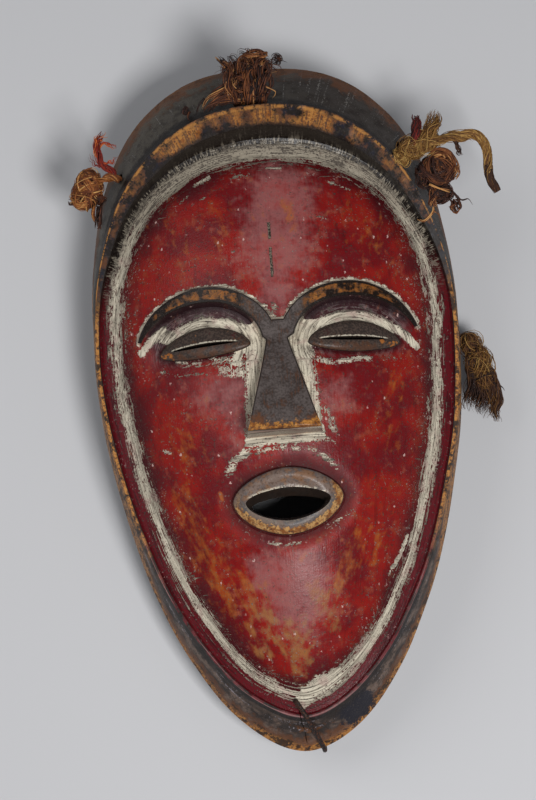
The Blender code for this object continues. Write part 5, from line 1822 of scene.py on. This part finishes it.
# %% The tuft on top of the head
def top_tuft():
    """A ragged brown fan over the tie, with strands that lie on the cap."""
    fibres = Fibres(11, "top")
    draw = fibres.random.uniform
    for _ in range(46):
        side = draw(-1.0, 1.0)
        root = (-1.0 + 5.0 * side, -1.0, 1.5)
        base = (-1.5 + 8.6 * side, -5.0 + draw(-1.0, 2.5), 4.5 + draw(0.0, 4.0))
        middle = (-1.6 + 10.0 * side, 3.0 + draw(-2.0, 2.0), 9.0 + draw(-4.0, 4.0))
        upper = (-0.6 + 12.5 * side, 13.0 + draw(-2.0, 2.0), 8.0 + draw(-4.0, 3.0))
        tip = (0.2 + 15.0 * side * draw(0.7, 1.05), 21.6 - 2.4 * side ** 2 + draw(-7.5, 0.8),
               4.5 + draw(-3.5, 3.5))
        guide = [root, base, middle, upper, tip]
        if draw() < 0.5:
            guide.append((tip[0] + draw(-6.0, 6.0), tip[1] - draw(5.0, 14.0), tip[2] + draw(2.0, 5.0)))
        fibres.lock(fibres.places(guide), 0.0010, 9, draw(0.05, 0.72), draw(0.2, 1.0), 0.6, 0.00038,
                    0.3, 0.0026)
    fibres.locks((
        (((-4.7, 5.3, 12.0), (-15.7, 2.3, 8.3), (-24.0, -0.9, 4.3), (-27.2, -7.5, 3.0)),
         0.0008, 12, 0.80),
        (((-3.5, -4.2, 8.3), (-14.6, -3.7, 7.0), (-23.8, -5.7, 5.0)), 0.0010, 12, 0.62),
        (((-5.0, 0.0, 9.0), (-16.0, -1.5, 7.0), (-23.0, -5.0, 5.0), (-26.0, -9.5, 4.0)),
         0.0013, 16, 0.38),
        (((-9.0, 8.0, 9.0), (-17.0, 4.0, 7.0), (-25.0, 0.0, 4.0)), 0.0008, 8, 0.30),
        (((-7.0, 9.0, 10.0), (-12.0, 3.0, 9.0), (-19.0, -2.0, 6.0), (-24.0, -8.0, 4.0)),
         0.0016, 14, 0.20),
        (((-9.0, 3.0, 9.0), (-13.0, -3.0, 7.0), (-20.0, -4.5, 5.0)), 0.0012, 10, 0.12),
        (((-11.0, 5.0, 9.0), (-20.0, -2.0, 6.0), (-27.5, -8.5, 3.0)), 0.0004, 4, 0.85),
        (((-8.0, 0.0, 9.0), (-16.0, 1.0, 7.5), (-24.5, -3.0, 5.0)), 0.0004, 3, 0.90),
        (((-10.0, 12.0, 8.0), (-14.0, 18.0, 7.0), (-17.0, 22.0, 6.0)), 0.0014, 14, 0.30),
        (((-12.0, 13.0, 8.0), (-16.0, 19.5, 6.0), (-18.5, 22.5, 5.0)), 0.0004, 4, 0.95),
        (((-23.9, 1.0, 3.3), (-28.5, -3.3, 2.3), (-30.7, -10.5, 1.3)), 0.0005, 6, 0.02),
        (((-33.0, -4.5, 0.5), (-35.0, -8.0, 0.0), (-34.0, -12.0, 0.0)), 0.0005, 5, 0.30),
        (((6.0, 3.0, 9.0), (9.1, 1.4, 8.3), (12.6, -0.5, 6.3), (9.7, -5.1, 6.3)), 0.0003, 3, 0.95),
        (((4.0, 12.0, 10.0), (7.0, 2.0, 9.0), (5.0, -5.5, 7.0)), 0.0005, 4, 0.90),
        (((-8.0, 16.0, 9.0), (-10.0, 6.0, 11.0), (-7.0, 0.0, 12.0)), 0.0005, 4, 0.85),
        (((13.0, 16.0, 6.0), (17.0, 17.0, 5.0), (21.0, 15.5, 4.0)), 0.0002, 2, 0.05)), 0.5, 0.4)
    knob, frizz, bow = fibres.places(((-35.7, -5.1, -0.5), (14.5, 17.7, 5.0), (3.0, 20.0, 7.0)))
    fibres.coil(knob, (0.0017, 0.0017, 0.0015), 12, 0.05)
    fibres.coil(frizz, (0.0042, 0.0038, 0.0030), 12, 0.12, 2, 0.00025)
    fibres.coil(bow, (0.0070, 0.0035, 0.0040), 12, 0.62, 4, 0.00042, 0.00045, 0.6)
    for centre, size, tone in (((-4.0, 15.0, 9.5), 0.0050, 0.45), ((7.0, 12.0, 10.0), 0.0048, 0.35),
                               ((-6.0, 4.0, 11.0), 0.0045, 0.55), ((4.0, 0.0, 11.0), 0.0040, 0.30)):
        fibres.coil(fibres.place(centre), (size, size, 0.5 * size), 7, tone, 3, 0.00036, 0.0006, 0.7)
    add_tie(fibres, "top")
    return fibres.to_object("top_raffia", RAFFIA_BROWN, "top_tuft")


top_tuft()


# %% The tuft at the upper left
def left_tuft():
    """A golden ball of looped fibre on a short rope, with dark strands below it; its darkest inner loops and
    a dark coil under it are painted shade.
    """
    fibres = Fibres(23, "left")
    rope = fibres.places(((-0.5, -0.8, 0.5), (-1.5, -1.2, 3.5), (-6.0, -0.9, 6.1), (-11.3, -2.7, 6.1),
                          (-15.0, -3.5, 5.0)))
    fibres.rope(rope, 0.0021, 2, 1.8, 18, 0.55)
    ball, lower, shade = fibres.places(((-16.5, -3.5, 2.6), (-19.5, -8.5, 1.0), (-13.5, -9.5, 0.5)))
    for centre, radii, count in ((ball, (0.0074, 0.0088, 0.0064), 22), (lower, (0.0070, 0.0080, 0.0058), 18)):
        # Painted shade: the innermost loops of each ball are darkest.
        fibres.coil(centre, grown(radii, 0.72), 26, 0.06, 4)
        fibres.coil(centre, radii, count, 0.56, 6, 0.00046, 0.00050, 0.80)
        fibres.coil(centre, grown(radii, 1.08), 8, 0.85, 2, 0.00034, 0.00040, 0.85)
    # Painted shade: a coil of dark fibre under the ball.
    fibres.coil(shade, (0.0050, 0.0060, 0.0045), 18, 0.12, 4)
    fibres.locks((
        (((-18.0, -8.0, 0.0), (-23.5, -10.5, -1.0), (-28.5, -12.5, -3.0)), 0.0022, 22, 0.30),
        (((-24.0, -12.0, -2.0), (-27.5, -11.5, -3.0), (-29.0, -9.0, -3.5)), 0.0003, 3, 0.05),
        (((-11.6, -12.0, 0.0), (-13.3, -20.9, -2.9), (-14.5, -27.0, -4.9)), 0.0015, 18, 0.06),
        (((-14.0, -12.0, 0.0), (-15.5, -18.0, -2.0), (-14.0, -24.0, -4.0)), 0.0008, 8, 0.55),
        (((-15.0, -9.0, 8.0), (-11.0, -8.0, 7.0), (-7.5, -7.0, 6.0)), 0.0004, 3, 0.95)), 0.4, 0.6)
    add_tie(fibres, "left")
    return fibres.to_object("left_raffia", RAFFIA_GOLD, "left_tuft")


def red_strand():
    """The red strand that stands up from the left knot, with thin side fibres."""
    fibres = Fibres(31, "left")
    stem = ((-2.0, 1.0, 3.5), (-3.6, 2.7, 4.8), (-8.9, 7.0, 8.1), (-10.4, 13.8, 10.1),
            (-9.6, 19.5, 9.1), (-6.1, 24.5, 8.1))
    fibres.lock(fibres.places(stem), 0.0016, 34, 0.42, 0.8, 0.1, 0.00040, 0.22, 0.0006)
    fibres.lock(fibres.places(stem[2:]), 0.0017, 9, 1.0, 0.8, 0.3, 0.00030, 0.40, 0.0010)
    for guide, count, tone in (
            (((-10.4, 13.0, 10.5), (-7.0, 17.5, 9.0), (-3.0, 15.5, 8.0), (-0.5, 14.0, 7.0)), 5, 0.90),
            (((-9.0, 7.0, 8.5), (-4.0, 7.0, 8.0), (1.0, 10.5, 6.0)), 5, 0.80),
            (((-10.5, 12.0, 10.0), (-9.5, 18.0, 9.5), (-4.0, 19.0, 8.0)), 4, 0.95),
            (((-9.0, 5.0, 7.0), (-13.0, 7.0, 7.0), (-14.5, 14.0, 8.0)), 3, 0.40)):
        fibres.lock(fibres.places(guide), 0.0006, 2 * count, tone, 0.5, 1.6, 0.00024, 0.4, 0.0008)
    return fibres.to_object("red_strand", RAFFIA_RED)


left_tuft()
red_strand()


# %% The tuft at the upper right
def right_tuft():
    """A fuzzy ochre mass with two stubs above, and a russet knot below."""
    upper = Fibres(41, "right")
    for centre, radii, count, tone in (
            ((6.5, -4.5, 8.7), (0.0070, 0.0055, 0.0042), 44, 0.60),
            ((0.5, -8.0, 6.0), (0.0040, 0.0052, 0.0030), 26, 0.82),
            ((14.0, -2.0, 10.5), (0.0062, 0.0060, 0.0042), 36, 0.58)):
        upper.coil(upper.place(centre), radii, count, tone, 5, 0.00036, 0.0007)
        wider = grown(radii, 1.1)
        upper.coil(upper.place(centre), wider, count // 2, tone + 0.1, 2, 0.00024, 0.0011, 0.7)
    upper.locks((
        (((14.0, -2.0, 11.0), (15.8, 1.5, 13.0), (18.0, 7.0, 14.2), (19.8, 13.5, 14.4)),
         0.0034, 76, 0.60),
        (((8.0, -3.0, 10.0), (17.0, -3.0, 12.5), (26.0, -1.0, 11.6), (34.0, -0.8, 11.0), (40.0, -1.2, 10.8)),
         0.0025, 60, 0.66),
        (((2.0, -6.0, 7.0), (-3.0, -11.0, 5.0), (-2.0, -15.0, 4.0)), 0.0012, 12, 0.75),
        (((28.5, -1.5, 11.0), (30.2, -6.0, 10.0), (31.2, -11.5, 8.7)), 0.0012, 18, 0.04)),
        0.5, 0.2, 0.00036, 0.22, 0.0005)
    upper.to_object("right_raffia", RAFFIA_OLIVE, "right_tuft")
    lower = Fibres(43, "right")
    for centre, radii, count, tone, strands in (
            ((20.0, -16.5, 6.7), (0.0092, 0.0090, 0.0058), 70, 0.28, 5),
            ((19.0, -28.5, 3.6), (0.0068, 0.0062, 0.0036), 34, 0.22, 4),
            ((27.0, -36.0, 1.5), (0.0030, 0.0042, 0.0022), 10, 0.30, 2),
            ((11.5, -19.0, 5.5), (0.0050, 0.0080, 0.0035), 26, 0.12, 4)):
        # Painted shade: the innermost loops of each knot are darkest.
        lower.coil(lower.place(centre), grown(radii, 0.8), count // 2, 0.05, strands)
        lower.coil(lower.place(centre), radii, count // 2, tone + 0.1, strands, 0.00044, 0.0005, 0.65)
        lower.coil(lower.place(centre), grown(radii, 1.1), count // 5, 0.6, 1, 0.0003)
    lower.locks((
        (((14.0, -11.0, 9.0), (19.0, -8.0, 12.0), (25.0, -10.0, 12.0), (28.5, -16.0, 9.5),
           (27.0, -22.0, 8.5)),
         0.0013, 18, 0.70),
        (((16.0, -12.0, 11.0), (21.0, -10.5, 13.0), (24.0, -13.0, 12.5)), 0.0013, 14, 0.92),
        (((27.5, -17.0, 11.0), (29.0, -20.0, 9.5), (26.0, -24.0, 8.5)), 0.0012, 12, 0.74),
        (((9.0, -13.0, 9.0), (13.0, -20.0, 11.0), (20.0, -23.0, 12.0)), 0.0011, 14, 0.40),
        (((12.0, -24.5, 9.0), (18.0, -27.5, 10.0), (26.0, -31.0, 9.2)), 0.0006, 5, 1.00),
        (((16.0, -26.0, 7.0), (15.2, -32.0, 4.5), (14.8, -37.5, 3.0)), 0.0022, 20, 0.66),
        (((15.1, -35.0, 3.0), (14.5, -39.0, 2.5), (9.4, -43.4, 2.5), (4.8, -41.0, 3.0)), 0.0004, 3, 0.95),
        (((14.5, -38.0, 2.5), (17.5, -40.0, 2.0), (18.5, -43.0, 1.5)), 0.0003, 2, 0.80),
        (((21.0, -30.0, 4.0), (25.0, -34.0, 3.0), (24.0, -38.0, 2.0), (28.0, -40.5, 1.0)),
         0.0004, 4, 0.35),
        (((24.0, -28.0, 5.0), (28.5, -33.0, 3.5), (28.0, -37.0, 2.0)), 0.0008, 10, 0.30),
        (((26.0, -31.0, 4.0), (30.4, -33.6, 3.0), (34.0, -33.0, 2.0), (36.6, -37.5, 1.0)),
         0.0002, 2, 0.10)), 0.4, 0.4, 0.00042, 0.12)
    add_tie(lower, "right")
    return lower.to_object("right_raffia_knot", RAFFIA_BROWN)


def red_stub():
    """The dark red stub that stands beside the ochre one."""
    fibres = Fibres(47, "right")
    guide = ((7.0, -4.0, 10.0), (8.6, 2.0, 12.7), (9.0, 7.0, 14.0), (9.6, 12.4, 14.2))
    fibres.lock(fibres.places(guide), 0.0025, 60, 0.16, 0.4, 0.0, 0.00040, 0.16, 0.0004)
    return fibres.to_object("red_stub", RAFFIA_RED)


right_tuft()
red_stub()


# %% The tassel on the side wall
def side_tassel():
    """A fuzzy olive head whose dark fringe hangs towards the chin."""
    fibres = Fibres(53, "side")
    draw = fibres.random.uniform
    for centre, radii, count, tone in (
            ((8.0, -4.0, 3.0), (0.0056, 0.0062, 0.0052), 34, 0.52),
            ((11.5, -14.0, 3.0), (0.0064, 0.0090, 0.0056), 46, 0.60),
            ((14.0, -23.0, 2.0), (0.0058, 0.0070, 0.0050), 24, 0.42)):
        place = fibres.place(centre)
        # Painted shade: the inner loops are darker than the outer ones.
        fibres.coil(place, grown(radii, 0.85), count, tone - 0.3, 4, 0.00036, 0.0007)
        fibres.coil(place, radii, count // 2, tone, 3, 0.00034, 0.0009, 0.6)
        fibres.coil(place, grown(radii, 1.12), count, tone, 1, 0.00024, 0.0010, 0.8)
    for _ in range(34):
        across = draw(0.0, 1.0)
        top = (4.5 + 9.0 * across, -8.0 + draw(-4.0, 4.0), 4.0 + draw(-2.0, 4.0))
        middle = (4.5 + 12.5 * across, -25.0 + draw(-3.0, 3.0), 2.5 + draw(-2.5, 3.0))
        tip = (0.5 + 17.5 * across + draw(-1.0, 1.0), -40.0 - 7.5 * across ** 2 + draw(-3.5, 3.0),
               -0.5 + draw(-2.5, 2.5))
        own_tone = draw(0.0, 0.14) + 0.26 * across
        fibres.lock(fibres.places([top, middle, tip]), 0.0012, 9, own_tone, 0.3, 0.7, 0.00034, 0.3, 0.0020)
    right = ((12.0, -12.0, 3.0), (17.6, -24.0, 2.5), (19.3, -36.0, 0.5), (17.0, -48.5, -1.5))
    fibres.lock(fibres.places(right), 0.0026, 60, 0.26, 0.5, 0.0, 0.00040, 0.22, 0.0010)
    stray = ((19.0, -26.0, 2.0), (23.0, -29.0, 1.0), (25.0, -33.0, 0.5))
    fibres.lock(fibres.places(stray), 0.0001, 1, 0.05, 0.0, 0.0)
    add_tie(fibres, "side")
    return fibres.to_object("side_raffia", RAFFIA_OLIVE, "side_tassel")


side_tassel()

# %% [markdown]
# ## The free cord
# One end of the upper right tie is a stiff fuzzy cord that arches out and down. Its fibres wind
# slowly round the route that its solid follows, and end in a dark frayed tip.

# %% Fuzzy cord
CORD_DIAMETER = 0.0050
CORD_STEPS = (
    (0.0285, -0.0020, 0.0100),
    (0.0320, -0.0010, 0.0110),
    (0.0380, 0.0000, 0.0110),
    (0.0430, -0.0030, 0.0100),
    (0.0455, -0.0090, 0.0090),
    (0.0455, -0.0170, 0.0080),
    (0.0460, -0.0240, 0.0070),
    (0.0495, -0.0310, 0.0050),
)


def free_cord():
    """The free end of the tie: fibres wound along its route, thinner and darker at the tip."""
    fibres = Fibres(61, "right")
    start = tie_line("right")[0]
    route = smooth_path([start + Vector(step) for step in CORD_STEPS], 6)
    share = np.linspace(0.0, 1.0, len(route))
    _, across, other = directions(route)
    fibres.add(route, 0.42 * CORD_DIAMETER, 0.30, 10, 1.0, 0.12)
    for strand in range(190):
        near_tip = strand % 4 == 0
        low = fibres.random.uniform(0.62, 0.8) if near_tip else fibres.random.uniform(0.0, 0.45)
        if near_tip:
            high = fibres.random.uniform(0.98, 1.02)
        else:
            high = min(low + fibres.random.uniform(0.25, 0.6), 0.94)
        starting = fibres.random.uniform(0, 6.28)
        angle = starting + share * 9.0 + 0.4 * np.sin(share * 17.0 + fibres.random.uniform(0, 6))
        reach = CORD_DIAMETER * fibres.random.uniform(0.41, 0.49) * (1.0 - 0.10 * share)
        reach = reach * (1.0 + 0.10 * np.sin(share * 25.0 + fibres.random.uniform(0, 6)))
        path = route + reach[:, None] * turned(angle, across, other)
        kept = path[(share >= low) & (share <= high)]
        tone = fibres.random.uniform(0.0, 0.2) if near_tip else fibres.random.uniform(0.45, 1.0)
        fibres.add(kept, 0.00036, tone)
    item = fibres.to_object("free_cord", RAFFIA_OLIVE, "right_cord_tail")
    path = [tuple(ORIGIN + Vector(point)) for point in route]
    length = float(np.linalg.norm(np.diff(route, axis=0), axis=1).sum())
    return length


print("cord length", round(1000 * free_cord(), 1), "mm")

# %% [markdown]
# ## The iron staple
# A hand-bent wire holds the crack at the chin. It keeps the route of its solid, and its surface is
# rusty and pitted.


# %% Rusty iron
def rusty_iron():
    """Dark iron with brown rust."""
    f = Finish("iron_rust")
    fine = f.grain(0.0012, 5.0)
    colour = f.blend(fine.between(0.42, 0.72), srgb(30, 22, 20), srgb(92, 54, 34))
    f.shader.inputs["Metallic"].default_value = 0.4
    return f.finish(colour, 0.6 + (fine - 0.5) * 0.3, f.bump(fine, 0.0005, 0.9))


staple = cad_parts["chin_staple"]
staple.data.materials.clear()
staple.data.materials.append(rusty_iron())
print("staple finish:", staple.data.materials[0].name)

# %% [markdown]
# ## Floor and light
# A pale floor and soft lamps, as in a studio. The main lamp stands near the camera, low on the
# right, so that the brows and tufts throw soft shadows up and to the left.


# %% Studio
def studio():
    """Floor, lamps and an even grey surrounding."""
    mesh = bpy.data.meshes.new("floor")
    mesh.from_pydata([(-3, -3, 0), (3, -3, 0), (3, 3, 0), (-3, 3, 0)], [], [(0, 1, 2, 3)])
    floor = bpy.data.objects.new("floor", mesh)
    bpy.context.scene.collection.objects.link(floor)
    f = Finish("floor_paper")
    mesh.materials.append(f.finish(srgb(206, 206, 208), 0.9))
    for name, place, size, power in (("key", (0.30, -0.50, 1.30), 0.35, 13.5),
                                     ("fill", (-0.9, 0.3, 1.1), 1.0, 4.6)):
        data = bpy.data.lights.new(name, "AREA")
        data.size = size
        data.energy = power
        lamp = bpy.data.objects.new(name, data)
        bpy.context.scene.collection.objects.link(lamp)
        lamp.location = place
        lamp.rotation_euler = (AIM - lamp.location).to_track_quat("-Z", "Y").to_euler()
    world = bpy.data.worlds.new("studio")
    bpy.context.scene.world = world
    world.use_nodes = True
    world.node_tree.nodes["Background"].inputs["Color"].default_value = (0.9, 0.93, 1.0, 1.0)
    world.node_tree.nodes["Background"].inputs["Strength"].default_value = 0.15


studio()
bpy.context.scene.view_settings.view_transform = "Standard"
